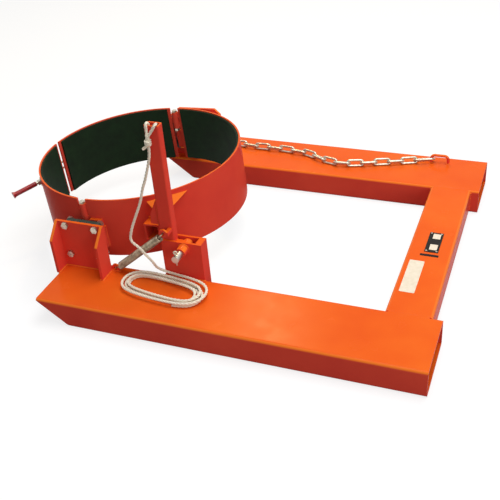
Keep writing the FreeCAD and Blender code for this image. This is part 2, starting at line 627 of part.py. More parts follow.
# keeper on the right door, low enough for the bar to swing over it
keeper_y = -s.keeper_along - s.keeper_lip
keeper_plate = box(-s.keeper_root, keeper_y - s.keeper_base_margin, -s.keeper_base_width / 2,
                   s.keeper_root + s.keeper_base, s.keeper_lip + s.keeper_base_margin * 2,
                   s.keeper_base_width)
keeper_lug = box(0, keeper_y, -s.keeper_width / 2, s.keeper_high, s.keeper_lip, s.keeper_width)
keeper_core = rod(-s.ring_radius, 0, -s.keeper_base_width, s.ring_radius, s.keeper_base_width * 2)
keep("clamp_keeper", cut(fuse(keeper_plate, keeper_lug), keeper_core), clamp_place)

# latch clevis on the left pocket's inner side, with its pivot pin
pivot_x = front + s.pivot_setback
pivot_z = s.pivot_height
lever_face = inner - s.latch_play
lever_back = lever_face - s.lever_depth
back_face = lever_back - s.latch_play
cheek_x = pivot_x - s.cheek_front
cheek_length = s.cheek_front + s.cheek_rear
pin_bore = rod(pivot_x, -back_face + s.cheek_plate + overrun, pivot_z, s.pivot_radius,
               s.cheek_plate * 2 + inner * 2 + s.latch_boss_length, -ACROSS)
front_cheek = box(cheek_x, -inner - s.cheek_plate, top, cheek_length, s.cheek_plate, s.cheek_top - top)
keep("latch_front_cheek", cut(front_cheek, pin_bore))
back_cheek = box(cheek_x, -back_face, s.back_cheek_low, cheek_length, s.cheek_plate,
                 s.cheek_top - s.back_cheek_low)
keep("latch_back_cheek", cut(back_cheek, pin_bore))
keep("latch_web", box(pivot_x + s.cheek_rear - s.web_depth, -inner, s.back_cheek_low, s.web_depth,
                      inner - back_face, s.cheek_top - s.back_cheek_low))
boss = rod(pivot_x, -inner - s.cheek_plate, pivot_z, s.latch_boss_radius, s.latch_boss_length, -ACROSS)
keep("lever_pin_boss", cut(boss, pin_bore))
pin_start = -back_face + s.cheek_plate
pin_length = inner - back_face + s.cheek_plate * 2 + s.latch_boss_length + s.pivot_tip
pin = fuse(rod(pivot_x, pin_start, pivot_z, s.pivot_radius, pin_length, -ACROSS),
           rod(pivot_x, pin_start, pivot_z, s.pivot_head_radius, s.pivot_head, ACROSS))
split_y = pin_start - pin_length + s.split_inset
split_hole = rod(pivot_x, split_y, pivot_z - s.split_down - overrun, s.split_radius + s.split_play,
                 s.split_up + s.split_down + overrun * 2)
keep("lever_pivot_pin", cut(pin, split_hole))
split_eye = doc.addObject("Part::Torus", "split_eye")
bind(split_eye, Radius1=s.split_eye_radius, Radius2=s.split_radius)
split_eye.Placement = Placement(Vector(0, 0, 0), Rotation(UP, ACROSS))
put(split_eye, pivot_x, split_y, pivot_z + s.split_up + s.split_eye_radius)
split_rod = rod(pivot_x, split_y, pivot_z - s.split_down, s.split_radius, s.split_up + s.split_down)
keep("lever_split_pin", fuse(split_rod, split_eye))

# latch lever: open tube, hub, hook plate, spring eye
lever_x = pivot_x - s.lever_offset - s.lever_width
lever_height = s.lever_top - s.lever_low
tube = rounded(box(lever_x, -lever_face, s.lever_low, s.lever_width, s.lever_depth, lever_height),
               s.lever_corner, UP)
hollow = box(lever_x + s.lever_wall, -lever_face + s.lever_wall, s.lever_low - overrun,
             s.lever_width - s.lever_wall * 2, s.lever_depth - s.lever_wall * 2,
             lever_height + overrun * 2)
hole_x = lever_x + s.hitch_inset
hole_z = s.lever_top - s.hitch_drop
rope_hole = rod(hole_x, -lever_face - overrun, hole_z, s.hitch_hole, s.lever_wall + overrun * 2, ACROSS)
keep("lever_tube", cut(tube, hollow, rope_hole))
hub = rod(pivot_x, -lever_back, pivot_z, s.hub_radius, s.lever_depth, -ACROSS)
hub_web = box(pivot_x - s.lever_offset, -lever_face + (s.lever_depth - s.hub_web_wall) / 2,
              pivot_z - s.hub_web_height / 2, s.lever_offset, s.hub_web_wall, s.hub_web_height)
hub_bore = rod(pivot_x, -lever_back + overrun, pivot_z, s.pivot_radius + s.pivot_play,
               s.lever_depth + overrun * 2, -ACROSS)
keep("lever_hub", cut(fuse(hub, hub_web), hub_bore))
keep("lever_hook", plate("lever_hook", (
    (lever_x, s.hook_low), (lever_x, s.hook_high), (lever_x - s.hook_step, s.hook_high),
    (lever_x - s.hook_reach + s.hook_step, s.hook_brow), (lever_x - s.hook_reach, s.hook_low)),
    s.hook_wall, axes(vector(0, -lever_face + s.hook_inset + s.hook_wall, 0), BACK, UP)))

spring_y = -inner - s.spring_stand
lug_low_y = spring_y - s.lug_wall / 2
eye_x = pivot_x - s.eye_offset
eye_z = pivot_z + s.eye_rise
bar_z = eye_z - s.eye_bar / 2
bar_y = spring_y + s.lug_wall / 2
eye = fuse(rod(eye_x, lug_low_y, eye_z, s.lug_radius, s.lug_wall, ACROSS),
           box(eye_x, lug_low_y, bar_z, s.eye_bar_lead, s.lug_wall, s.eye_bar),
           box(eye_x + s.eye_bar_lead - s.eye_bar, bar_y, bar_z, s.eye_bar, -lever_face - bar_y,
               s.eye_bar))
eye_hole = rod(eye_x, lug_low_y - overrun, eye_z, s.lug_hole, s.lug_wall + overrun * 2, ACROSS)
keep("lever_spring_eye", cut(eye, eye_hole))
foot_x = front + s.spring_foot_setback
foot_z = top + s.spring_foot_rise
foot = fuse(rod(foot_x, lug_low_y, foot_z, s.lug_radius, s.lug_wall, ACROSS),
            box(foot_x - s.lug_radius, lug_low_y, top, s.lug_radius * 2, s.lug_wall,
                s.spring_foot_rise))
foot_under = box(foot_x - s.lug_radius, lug_low_y - overrun, 0, s.lug_radius * 2,
                 s.lug_wall + overrun * 2, top)
foot_hole = rod(foot_x, lug_low_y - overrun, foot_z, s.lug_hole, s.lug_wall + overrun * 2, ACROSS)
keep("spring_foot_lug", cut(foot, foot_under, foot_hole))


def arc_between(start, middle, end):
    """An arc through three points, or a line where they lie in a row."""
    if (middle - start).cross(end - middle).Length < 1e-6 * (end - start).Length ** 2:
        return Part.LineSegment(start, end).toShape()
    return Part.Arc(start, middle, end).toShape()


def leaning_arc(start, tangent, end):
    """The arc that leaves one point along a direction and reaches another."""
    chord_line = end - start
    share = chord_line.dot(tangent) / chord_line.Length
    half_turn = math.acos(max(-1, min(1, share))) / 2
    side_line = tangent * chord_line.Length - chord_line * share
    if side_line.Length < 1e-7 * chord_line.Length:
        return Part.LineSegment(start, end).toShape()
    bulge = chord_line.Length / 2 * math.tan(half_turn)
    return arc_between(start, start + chord_line / 2 + side_line.normalize() * bulge, end)


def biarc(start, tangent, end, following):
    """Two arcs that leave and arrive along given directions."""
    gap = end - start
    both = tangent + following
    flat = 2 * (1 - tangent.dot(following))
    along_both = gap.dot(both)
    if flat < 1e-9:
        reach = gap.dot(gap) / (2 * along_both)
    else:
        reach = (math.sqrt(along_both ** 2 + flat * gap.dot(gap)) - along_both) / flat
    joint = (start + end + (tangent - following) * reach) / 2
    return [leaning_arc(start, tangent, joint), leaning_arc(end, following * -1, joint)]


def smooth_wire(points, tangents, closed=False):
    edges = []
    for index in range(len(points) - (0 if closed else 1)):
        following = (index + 1) % len(points)
        edges += biarc(points[index], tangents[index], points[following], tangents[following])
    return Part.Wire(Part.__sortEdges__(edges))


def run_wire(points):
    """Straight runs joined by tangent arcs, and the arcs' radii."""
    edges = []
    radii = []
    start = points[0]
    for before, corner_point, after in zip(points, points[1:], points[2:]):
        arriving = (corner_point - before).normalize()
        leaving = (after - corner_point).normalize()
        turn = math.acos(max(-1, min(1, arriving.dot(leaving))))
        setback = 0.45 * min((corner_point - before).Length, (after - corner_point).Length)
        first = corner_point - arriving * setback
        last = corner_point + leaving * setback
        radius = setback / math.tan(turn / 2)
        radii.append(radius)
        inward = (leaving - arriving).normalize()
        middle = corner_point + inward * (radius / math.cos(turn / 2) - radius)
        edges.append(Part.LineSegment(start, first).toShape())
        edges.append(Part.Arc(first, middle, last).toShape())
        start = last
    edges.append(Part.LineSegment(start, points[-1]).toShape())
    return Part.Wire(edges), radii


def least_gap(points, thickness, skip):
    """The least clear gap of a tube to itself, measured on its points."""
    least = math.inf
    for index, point in enumerate(points):
        for other in points[index + skip:]:
            least = min(least, (point - other).Length)
    return least - number(thickness)


def spread(wire, step):
    return wire.discretize(Distance=number(step))


# extension spring: its upper half is worked out, and turned over for the lower half
eye_point = vector(eye_x, spring_y, eye_z)
foot_point = vector(foot_x, spring_y, foot_z)
spring_line = (eye_point - foot_point).normalize()
wire_seat = number(s.lug_hole - s.spring_wire / 2 - s.spring_seat)
half_reach = (eye_point - foot_point).Length / 2 - wire_seat
coil = number(s.spring_radius)
loop_foot = half_reach - coil
coil_end = loop_foot - number(s.spring_neck + s.spring_bend)
quarters = 2 * SPRING_TURNS + 1
rise_per_quarter = coil_end / quarters
points = []
tangents = []
for quarter in range(quarters + 1):
    turn = math.pi / 2 * quarter
    points.append(Vector(coil * math.cos(turn), coil * math.sin(turn), rise_per_quarter * quarter))
    slope = rise_per_quarter / (math.pi / 2)
    tangents.append(Vector(-coil * math.sin(turn), coil * math.cos(turn), slope).normalize())
bend = number(s.spring_bend)
quarter_side = math.copysign(1, points[-1].y)
bend_side = math.copysign(1, tangents[-1].x)
hook_x = bend * bend_side
points += [Vector(hook_x, coil * quarter_side, coil_end + bend),
           Vector(hook_x, coil * quarter_side, loop_foot), Vector(hook_x, 0, half_reach),
           Vector(hook_x, -coil * quarter_side, loop_foot)]
tangents += [UP, UP, Vector(0, -quarter_side, 0), -UP]
full = [Vector(p.x, -p.y, -p.z) for p in reversed(points[1:])] + points
full_tangents = [Vector(-t.x, t.y, t.z) for t in reversed(tangents[1:])] + tangents
middle_place = axes((eye_point + foot_point) / 2, ACROSS.cross(spring_line), ACROSS)
middle_place = middle_place.multiply(Placement(Vector(-hook_x, 0, 0), Rotation()))
full = [middle_place.multVec(p) for p in full]
full_tangents = [middle_place.Rotation.multVec(t) for t in full_tangents]
spring_wire = smooth_wire(full, full_tangents)
spring_tube = tube_along(spring_wire, s.spring_wire / 2, full[0], full_tangents[0])
keep_shape("latch_spring", spring_tube)
dense = spread(spring_wire, s.spring_wire / 4)
skip = int(coil * 4 / number(s.spring_wire / 4))
print("latch_spring turns", SPRING_TURNS, "least gap", round(least_gap(dense, s.spring_wire, skip), 2))

# safety chain: stadium links that walk along the route, rolled in turn
def stadium(length, width, thickness, place):
    """A closed link of round wire, lying along X."""
    wire = number(thickness) / 2
    half_run = number(length - width) / 2
    bend_radius = number(width) / 2 - wire
    corners = [Vector(half_run, -bend_radius, 0), Vector(half_run, bend_radius, 0),
               Vector(-half_run, bend_radius, 0), Vector(-half_run, -bend_radius, 0)]
    ends = [Vector(half_run + bend_radius, 0, 0), Vector(-half_run - bend_radius, 0, 0)]
    path = Part.Wire([Part.Arc(corners[0], ends[0], corners[1]).toShape(),
                      Part.LineSegment(corners[1], corners[2]).toShape(),
                      Part.Arc(corners[2], ends[1], corners[3]).toShape(),
                      Part.LineSegment(corners[3], corners[0]).toShape()])
    link_shape = tube_along(path, wire, corners[0], BACK)
    link_shape.Placement = place
    return link_shape


def lying(first, second, roll):
    """The placement of a link between two joints, rolled about its length."""
    run = (second - first).normalize()
    flat = axes((first + second) / 2, run, UP.cross(run))
    return flat.multiply(Placement(Vector(0, 0, 0), Rotation(BACK, roll)))


# staple on the right pocket, and the ring link that joins the chain to its front leg
chain_z = number(top + s.chain_rise)
staple_y = inner + s.staple_side
staple_x = rear - s.staple_setback - s.staple_length
leg_foot = vector(staple_x, staple_y, top)
leg_rise = number(s.staple_rise - s.staple_bend)
bend = number(s.staple_bend)
bow = bend * (1 - math.sqrt(0.5))
crown = leg_foot + UP * number(s.staple_rise)
far_crown = crown + BACK * number(s.staple_length)
far_foot = leg_foot + BACK * number(s.staple_length)
staple_path = Part.Wire([
    Part.LineSegment(leg_foot, leg_foot + UP * leg_rise).toShape(),
    Part.Arc(crown - UP * bend, crown + (BACK - UP) * bow, crown + BACK * bend).toShape(),
    Part.LineSegment(crown + BACK * bend, far_crown - BACK * bend).toShape(),
    Part.Arc(far_crown - BACK * bend, far_crown - (BACK + UP) * bow, far_crown - UP * bend).toShape(),
    Part.LineSegment(far_foot + UP * leg_rise, far_foot).toShape()])
keep_shape("chain_staple", tube_along(staple_path, s.staple_wire / 2, leg_foot, UP))

route = [Vector(number(front + s.pocket_length * a), number(inner + s.pocket_width * b), chain_z)
         for a, b in CHAIN_ROUTE_SHARES]
leg_point = vector(staple_x, staple_y, chain_z)
arriving = (leg_point - route[-1]).normalize()
ring_half = s.ring_link_length / 2 - s.chain_wire
ring_reach = number(ring_half * 2 - s.staple_wire / 2 - s.staple_play - s.chain_slack / 2)
first_joint = leg_point - arriving * ring_reach
ring_end = first_joint + arriving * number((ring_half - s.chain_slack / 2) * 2)
roll = number(s.chain_roll_angle)
keep_shape("chain_ring_link", stadium(s.ring_link_length, s.ring_link_width, s.chain_wire,
                                      lying(ring_end, first_joint, roll)))
route_curve = Part.BSplineCurve()
route_curve.interpolate(route + [first_joint])
pitch = number(s.link_length - s.chain_wire * 2 - s.chain_slack)
dense = route_curve.toShape().discretize(Distance=pitch / 40)
joints = [first_joint]
for point in reversed(dense):
    if (point - joints[-1]).Length >= pitch:
        joints.append(joints[-1] + (point - joints[-1]).normalize() * pitch)
links = []
for index, (first, second) in enumerate(zip(joints, joints[1:])):
    place = lying(first, second, roll if index % 2 else roll - 90)
    links.append(stadium(s.link_length, s.link_width, s.chain_wire, place))
keep_shape("safety_chain", Part.makeCompound(links))
print("safety_chain links", len(links))

# rating plate on the cross member
plate_x = -s.plate_width / 2
plate_y = s.plate_offset - s.plate_length / 2
keep("rating_plate", box(plate_x, plate_y, top, s.plate_width, s.plate_length, s.plate_wall))
rivets = []
for x in (plate_x + s.rivet_margin, plate_x + s.plate_width - s.rivet_margin):
    for y in (plate_y + s.rivet_margin, plate_y + s.plate_length - s.rivet_margin):
        rivets.append(rod(x, y, top + s.plate_wall, s.rivet_head_radius, s.rivet_head_height))
keep("rating_plate_rivets", group(rivets))

# rope hitch on the lever: a loop through the hole and over the rim, and the knot below it
rope_radius = s.rope_diameter / 2
wall_y = -lever_face + s.lever_wall / 2
hole_point = vector(hole_x, wall_y, hole_z)
rim_point = hole_point + vector(s.hitch_run, 0, s.hitch_rise)
climb = (rim_point - hole_point).normalize()
loop_length = s.rope_diameter + (rim_point - hole_point).Length
loop = doc.addObject("Part::Feature", "hitch_loop")
loop.Shape = stadium(loop_length, s.hitch_radius * 2 + s.rope_diameter, s.rope_diameter,
                     axes((hole_point + rim_point) / 2, climb, ACROSS))
knot_y = -lever_face - s.knot_radius - rope_radius - s.knot_play
knot_z = hole_z - s.knot_drop
knot = [loop]
for step in (-1, 1):
    turn_of_rope = doc.addObject("Part::Torus", "knot_turn")
    bind(turn_of_rope, Radius1=s.knot_radius, Radius2=rope_radius)
    put(turn_of_rope, hole_x, knot_y, knot_z + s.knot_step / 2 * step)
    knot.append(turn_of_rope)
stem_low = knot_z - s.knot_stem
knot.append(rod(hole_x, knot_y, stem_low, rope_radius, hole_z - stem_low))
knot.append(rod(hole_x, knot_y, knot_z, rope_radius, s.knot_tail, Vector(-0.6, -0.3, -0.75)))
keep("rope_knot", fuse(*knot))


def eased(share):
    """A share from 0 to 1 that starts and stops gently."""
    share = min(max(share, 0), 1)
    return share * share * (3 - 2 * share)


# rope hank: it winds in on the pocket, climbs inside its loops and winds out on top of them
pocket_side = vector(pivot_x, -inner, 0)
hank_centre = pocket_side + vector(-s.hank_forward, -s.hank_aside, top + s.hank_lift)


def hank_place(turn):
    """Where the hank's rope lies after so many turns of a rounded oval."""
    loops_in = min(turn, HANK_INMOST) - HANK_OUT_PACE * max(turn - HANK_INMOST, 0)
    bend = number(s.hank_bend - s.hank_step * loops_in)
    angle = math.pi * (2 * turn + 0.5)
    run = math.tanh(HANK_SQUARENESS * math.cos(angle)) / math.tanh(HANK_SQUARENESS)
    along = number(s.hank_straight) * run + bend * math.cos(angle)
    aside = bend * math.sin(angle)
    low, high = HANK_CLIMB
    rise = number(s.hank_layer) * eased((turn - low) / (high - low))
    first, last = HANK_HEADINGS
    heading = first + (last - first) * eased((turn - high) / (HANK_TOP - high))
    return hank_centre + Rotation(UP, heading).multVec(Vector(along, aside, rise))


steps = int((HANK_TOP - HANK_FREE_END) * HANK_POINTS_PER_TURN)
points = [hank_place(HANK_TOP - step / HANK_POINTS_PER_TURN) for step in range(steps + 1)]
neighbours = zip(points[:1] + points, points[1:] + points[-1:])
tangents = [(after - before).normalize() for before, after in neighbours]
hank_wire = smooth_wire(points, tangents)
keep_shape("rope_hank", tube_along(hank_wire, rope_radius, points[0], tangents[0]))
dense = spread(hank_wire, s.rope_diameter / 4)
skip = 24
print("rope_hank length", round(hank_wire.Length),
      "least gap", round(least_gap(dense, s.rope_diameter, skip), 2))

# the rope's fall from the knot to the hank
fall = [vector(hole_x, knot_y, stem_low - s.knot_play)] + [pocket_side + Vector(*p) for p in ROPE_ROUTE]
fall += [points[0] - tangents[0] * number(s.hank_lead), points[0]]
fall_wire, radii = run_wire(fall)
fall_tube = tube_along(fall_wire, rope_radius, fall[0], (fall[1] - fall[0]).normalize())
keep_shape("rope_drop", fall_tube)
section = math.pi * number(rope_radius) ** 2
print("rope_drop length", round(fall_wire.Length), "radii", [round(r) for r in radii])
print("rope_drop volume share", round(fall_tube.Volume / (section * fall_wire.Length), 4))

doc.recompute()
faults = []
for item in doc.Objects:
    if "Invalid" in item.State or "Error" in item.State:
        faults.append(item.Label + " " + str(item.State))
os.makedirs("parts", exist_ok=True)
for name, item in nodes.items():
    shape = item.Shape
    if shape.isNull() or not shape.isValid() or not shape.Solids:
        faults.append(name + " has no valid solid")
if faults:
    raise RuntimeError("; ".join(faults))
for name, item in nodes.items():
    item.Shape.exportStep("parts/" + name + ".step")
print("nodes", len(nodes))
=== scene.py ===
import json
import math
import random
import bpy
from mathutils import Matrix, Vector


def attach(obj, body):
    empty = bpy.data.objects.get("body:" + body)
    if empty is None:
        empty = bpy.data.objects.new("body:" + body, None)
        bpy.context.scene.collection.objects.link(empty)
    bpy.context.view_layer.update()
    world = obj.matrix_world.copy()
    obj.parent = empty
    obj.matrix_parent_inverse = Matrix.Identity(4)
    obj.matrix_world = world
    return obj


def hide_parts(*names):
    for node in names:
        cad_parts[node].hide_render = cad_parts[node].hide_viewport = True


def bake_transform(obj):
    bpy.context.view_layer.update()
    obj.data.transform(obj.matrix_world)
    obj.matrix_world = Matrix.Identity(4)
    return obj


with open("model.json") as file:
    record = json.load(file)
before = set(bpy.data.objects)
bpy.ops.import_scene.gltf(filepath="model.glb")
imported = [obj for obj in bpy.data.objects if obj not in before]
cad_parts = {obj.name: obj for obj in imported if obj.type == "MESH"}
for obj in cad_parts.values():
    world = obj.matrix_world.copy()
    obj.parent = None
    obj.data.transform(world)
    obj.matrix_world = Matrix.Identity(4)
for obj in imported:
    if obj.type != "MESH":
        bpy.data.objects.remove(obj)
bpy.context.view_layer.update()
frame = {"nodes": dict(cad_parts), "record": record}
nodes = frame["nodes"]

# Drum tipper, in metres. +X runs to the fork heels, +Y to the far side of the photograph, +Z up.
# Lengths are in metres, apart from what mm() takes, names that end in MM or mm, and the hank's sizes.
# The lever's pivot, the inner side and the top of the fork pockets, and the front cheek's face:
PIVOT_X_MM, POCKET_SIDE_MM, POCKET_TOP_MM, CHEEK_Y_MM = -603, 317, 76, -323


def mm(*sizes):
    """A place in millimetres as a vector in metres."""
    return Vector(sizes) * 0.001


# Camera, at the photograph's angle
AZIMUTH, ELEVATION, ROLL = math.radians(23.32), math.radians(33.94), math.radians(-4.92)
LENS_MM, SENSOR_MM, FARTHEST = 58.82, 36, 60
AIM, DISTANCE = mm(-531.25, -49.15, 0), 2.441
back = Vector((math.sin(AZIMUTH) * math.cos(ELEVATION), -math.cos(AZIMUTH) * math.cos(ELEVATION),
               math.sin(ELEVATION)))
level = Vector((math.cos(AZIMUTH), math.sin(AZIMUTH), 0))
upright = back.cross(level)
right = level * math.cos(ROLL) + upright * math.sin(ROLL)
up = upright * math.cos(ROLL) - level * math.sin(ROLL)
lens = bpy.data.cameras.new("camera")
lens.lens = LENS_MM
lens.sensor_width = SENSOR_MM
lens.clip_end = FARTHEST
camera = bpy.data.objects.new("camera", lens)
bpy.context.scene.collection.objects.link(camera)
stand = Matrix((right, up, back)).transposed().to_4x4()
stand.translation = AIM + back * DISTANCE
camera.matrix_world = stand
bpy.context.scene.camera = camera
bpy.context.scene.view_settings.view_transform = "Standard"


# Making meshes
LEAST_STEP = 0.0002
SPLINE_STEPS = 12
TIP_SHARE = 0.6
STRANDS, STRAND_SHARE = 3, 0.245


def piece(name, points, faces, body=None, finish=None, smooth=True, uvs=None):
    """A mesh object at the origin, on a CAD body."""
    mesh = bpy.data.meshes.new(name)
    mesh.from_pydata([tuple(p) for p in points], [], faces)
    mesh.validate()
    mesh.update()
    for face in mesh.polygons:
        face.use_smooth = smooth
    if uvs is not None:
        layer = mesh.uv_layers.new(name="lay")
        for loop in mesh.loops:
            layer.data[loop.index].uv = uvs[loop.vertex_index]
    thing = bpy.data.objects.new(name, mesh)
    bpy.context.scene.collection.objects.link(thing)
    if finish is not None:
        mesh.materials.append(finish)
    if body is not None:
        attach(thing, body)
    return thing


def smooth_line(route):
    """The points of a NURBS spline that has the route as its control points."""
    curve = bpy.data.curves.new("line", "CURVE")
    curve.dimensions = "3D"
    spline = curve.splines.new("NURBS")
    spline.points.add(len(route) - 1)
    for point, place in zip(spline.points, route):
        point.co = (*place, 1)
    spline.order_u = 3
    spline.use_endpoint_u = True
    spline.resolution_u = SPLINE_STEPS
    holder = bpy.data.objects.new("line", curve)
    bpy.context.scene.collection.objects.link(holder)
    bpy.context.view_layer.update()
    mesh = bpy.data.meshes.new_from_object(holder)
    line = [v.co.copy() for v in mesh.vertices]
    bpy.data.objects.remove(holder)
    bpy.data.curves.remove(curve)
    bpy.data.meshes.remove(mesh)
    kept = [line[0]]
    for point in line[1:]:
        if (point - kept[-1]).length > LEAST_STEP:
            kept.append(point)
    return kept


def directions(line):
    """For each point of a line: its direction and two directions across that turn with it."""
    found = []
    across = None
    for index in range(len(line)):
        along = (line[min(index + 1, len(line) - 1)] - line[max(index - 1, 0)]).normalized()
        if across is None:
            across = along.orthogonal().normalized()
        across = (across - along * across.dot(along)).normalized()
        found.append((along, across, along.cross(across)))
    return found


def round_wire(line, radius, sides):
    """Points, faces and UVs of a round wire along a line, with domed ends."""
    points, faces, uvs = [], [], []
    ways = directions(line)
    run = 0
    for index, (point, (_, across, third)) in enumerate(zip(line, ways)):
        if index:
            run += (point - line[index - 1]).length
        for side in range(sides):
            turn = 2 * math.pi * side / sides
            points.append(point + (across * math.cos(turn) + third * math.sin(turn)) * radius)
            uvs.append((side / sides, run))
    for index in range(len(line) - 1):
        for side in range(sides):
            following = (side + 1) % sides
            faces.append((index * sides + side, index * sides + following,
                          (index + 1) * sides + following, (index + 1) * sides + side))
    for ring, way, order in ((0, -1, -1), (len(line) - 1, 1, 1)):
        tip = len(points)
        points.append(line[ring] + ways[ring][0] * (way * radius * TIP_SHARE))
        uvs.append((0, 0 if ring == 0 else run))
        for side in range(sides):
            pair = (ring * sides + side, ring * sides + (side + 1) % sides)
            faces.append((*pair[::order], tip))
    return points, faces, uvs


def laid_rope(line, diameter, lay_length, sides=6):
    """Strands twisted round a line."""
    points, faces, uvs = [], [], []
    strand_radius = diameter * STRAND_SHARE
    offset = diameter * 0.5 - strand_radius
    ways = directions(line)
    for strand in range(STRANDS):
        run = 0
        centre = []
        for index, (point, (_, across, third)) in enumerate(zip(line, ways)):
            if index:
                run += (point - line[index - 1]).length
            turn = 2 * math.pi * (strand / STRANDS + run / lay_length)
            centre.append(point + (across * math.cos(turn) + third * math.sin(turn)) * offset)
        strand_points, strand_faces, strand_uvs = round_wire(centre, strand_radius, sides)
        base = len(points)
        points += strand_points
        faces += [tuple(base + corner for corner in face) for face in strand_faces]
        uvs += strand_uvs
    return points, faces, uvs


def joined(*parts):
    """Several sets of points, faces and UVs as one."""
    points, faces, uvs = [], [], []
    for part_points, part_faces, part_uvs in parts:
        base = len(points)
        points += part_points
        faces += [tuple(base + corner for corner in face) for face in part_faces]
        uvs += part_uvs
    return points, faces, uvs


# Finishes
def colour(code):
    """An sRGB hex value as linear RGBA."""
    parts = [int(code[i:i + 2], 16) / 255 for i in (1, 3, 5)]
    return (*[p / 12.92 if p <= 0.04045 else ((p + 0.055) / 1.055) ** 2.4 for p in parts], 1)


def per(size_mm):
    """A pattern's scale for features of that size."""
    return 1000 / size_mm


def node(tree, kind, settings=None, sockets=None):
    """Adds a node with its settings, socket values and links."""
    made = tree.nodes.new(kind)
    for key, value in (settings or {}).items():
        setattr(made, key, value)
    for key, value in (sockets or {}).items():
        if isinstance(value, bpy.types.NodeSocket):
            tree.links.new(value, made.inputs[key])
        else:
            made.inputs[key].default_value = value
    return made


def blank_finish(name):
    """A material with its tree, its shader and the object's own coordinates."""
    material = bpy.data.materials.new(name)
    material.use_nodes = True
    tree = material.node_tree
    shader = tree.nodes["Principled BSDF"]
    place = tree.nodes.new("ShaderNodeTexCoord").outputs["Object"]
    return material, tree, shader, place


def graded(tree, level_socket, stops):
    """Colours between stops of a level from 0 to 1."""
    ramp = node(tree, "ShaderNodeValToRGB", None, {"Fac": level_socket})
    band = ramp.color_ramp
    while len(band.elements) < len(stops):
        band.elements.new(0.5)
    for element, (position, code) in zip(band.elements, stops):
        element.position = position
        element.color = colour(code)
    return ramp.outputs["Color"]


def orange_enamel():
    # Air-drying enamel sprayed on mild steel plate, gloss orange with a fine orange-peel skin. Light and
    # shade are painted into its colour by how a face lies: a lighter orange on faces that lie level and face
    # up, a redder painted shade on upright faces, and a painted highlight of lighter orange on round edges.
    material, tree, shader, place = blank_finish("sprayed_orange_enamel")
    coat = node(tree, "ShaderNodeTexNoise", None,
                {"Vector": place, "Scale": per(180), "Detail": 3, "Roughness": 0.55}).outputs["Fac"]
    # painted light: a lighter orange for faces that face up, and a redder painted shade for upright faces
    lit_top_colour = graded(tree, coat, ((0.3, "#E55A1A"), (0.52, "#E9611C"), (0.75, "#ED6A20")))
    shaded_side_colour = graded(tree, coat, ((0.3, "#E2483A"), (0.52, "#E84E3C"), (0.75, "#EE5540")))
    lay = node(tree, "ShaderNodeSeparateXYZ", None,
               {"Vector": tree.nodes["Texture Coordinate"].outputs["Normal"]}).outputs["Z"]
    # painted highlight: a lighter orange on round edges, between upright faces and those that face up
    edge_highlight_mask = node(tree, "ShaderNodeMapRange", None, {"Value": lay, "From Min": 0.15, "From Max": 0.5})
    side_with_edge_highlight = node(tree, "ShaderNodeMix", {"data_type": "RGBA"},
                 {0: edge_highlight_mask.outputs["Result"], 6: shaded_side_colour, 7: colour("#F67A2A")})
    lit_top_mask = node(tree, "ShaderNodeMapRange", None, {"Value": lay, "From Min": 0.85, "From Max": 0.98})
    tone = node(tree, "ShaderNodeMix", {"data_type": "RGBA"},
                {0: lit_top_mask.outputs["Result"], 6: side_with_edge_highlight.outputs[2], 7: lit_top_colour})
    tree.links.new(tone.outputs[2], shader.inputs["Base Color"])
    handling = node(tree, "ShaderNodeTexNoise", None,
                    {"Vector": place, "Scale": per(55), "Detail": 5}).outputs["Fac"]
    gloss = node(tree, "ShaderNodeMapRange", None,
                 {"Value": handling, "From Min": 0.3, "From Max": 0.7, "To Min": 0.2, "To Max": 0.28})
    tree.links.new(gloss.outputs["Result"], shader.inputs["Roughness"])
    peel = node(tree, "ShaderNodeTexNoise", None,
                {"Vector": place, "Scale": per(4), "Detail": 2}).outputs["Fac"]
    skin = node(tree, "ShaderNodeBump", None,
                {"Height": peel, "Strength": 0.25, "Distance": 0.0002})
    tree.links.new(skin.outputs["Normal"], shader.inputs["Normal"])
    sheen = node(tree, "ShaderNodeMapRange", None,
                 {"Value": lay, "From Min": 0.15, "From Max": 0.9, "To Min": 0.004, "To Max": 0.06})
    tree.links.new(sheen.outputs["Result"], shader.inputs["Specular IOR Level"])
    return material


def cast_green():
    # Grey cast iron with a dipped dark green primer: almost black, matt, with the sand's grain.
    material, tree, shader, place = blank_finish("dipped_green_cast_iron")
    sand = node(tree, "ShaderNodeTexNoise", None,
                {"Vector": place, "Scale": per(3), "Detail": 4}).outputs["Fac"]
    tone = graded(tree, sand, ((0.3, "#18251D"), (0.7, "#26382C")))
    tree.links.new(tone, shader.inputs["Base Color"])
    skin = node(tree, "ShaderNodeBump", None, {"Height": sand, "Strength": 0.5, "Distance": 0.0005})
    tree.links.new(skin.outputs["Normal"], shader.inputs["Normal"])
    shader.inputs["Roughness"].default_value = 0.55
    return material


def zinc_plating():
    # Bright zinc on steel wire and fasteners: a warm, slightly cloudy metal with a soft gleam.
    material, tree, shader, place = blank_finish("bright_zinc_plating")
    cloud = node(tree, "ShaderNodeTexNoise", None,
                 {"Vector": place, "Scale": per(9), "Detail": 4}).outputs["Fac"]
    tone = graded(tree, cloud, ((0.3, "#A39C8A"), (0.55, "#C4BEAD"), (0.8, "#DAD5C8")))
    tree.links.new(tone, shader.inputs["Base Color"])
    gloss = node(tree, "ShaderNodeMapRange", None,
                 {"Value": cloud, "From Min": 0.3, "From Max": 0.7, "To Min": 0.42, "To Max": 0.28})
    tree.links.new(gloss.outputs["Result"], shader.inputs["Roughness"])
    shader.inputs["Metallic"].default_value = 1
    return material


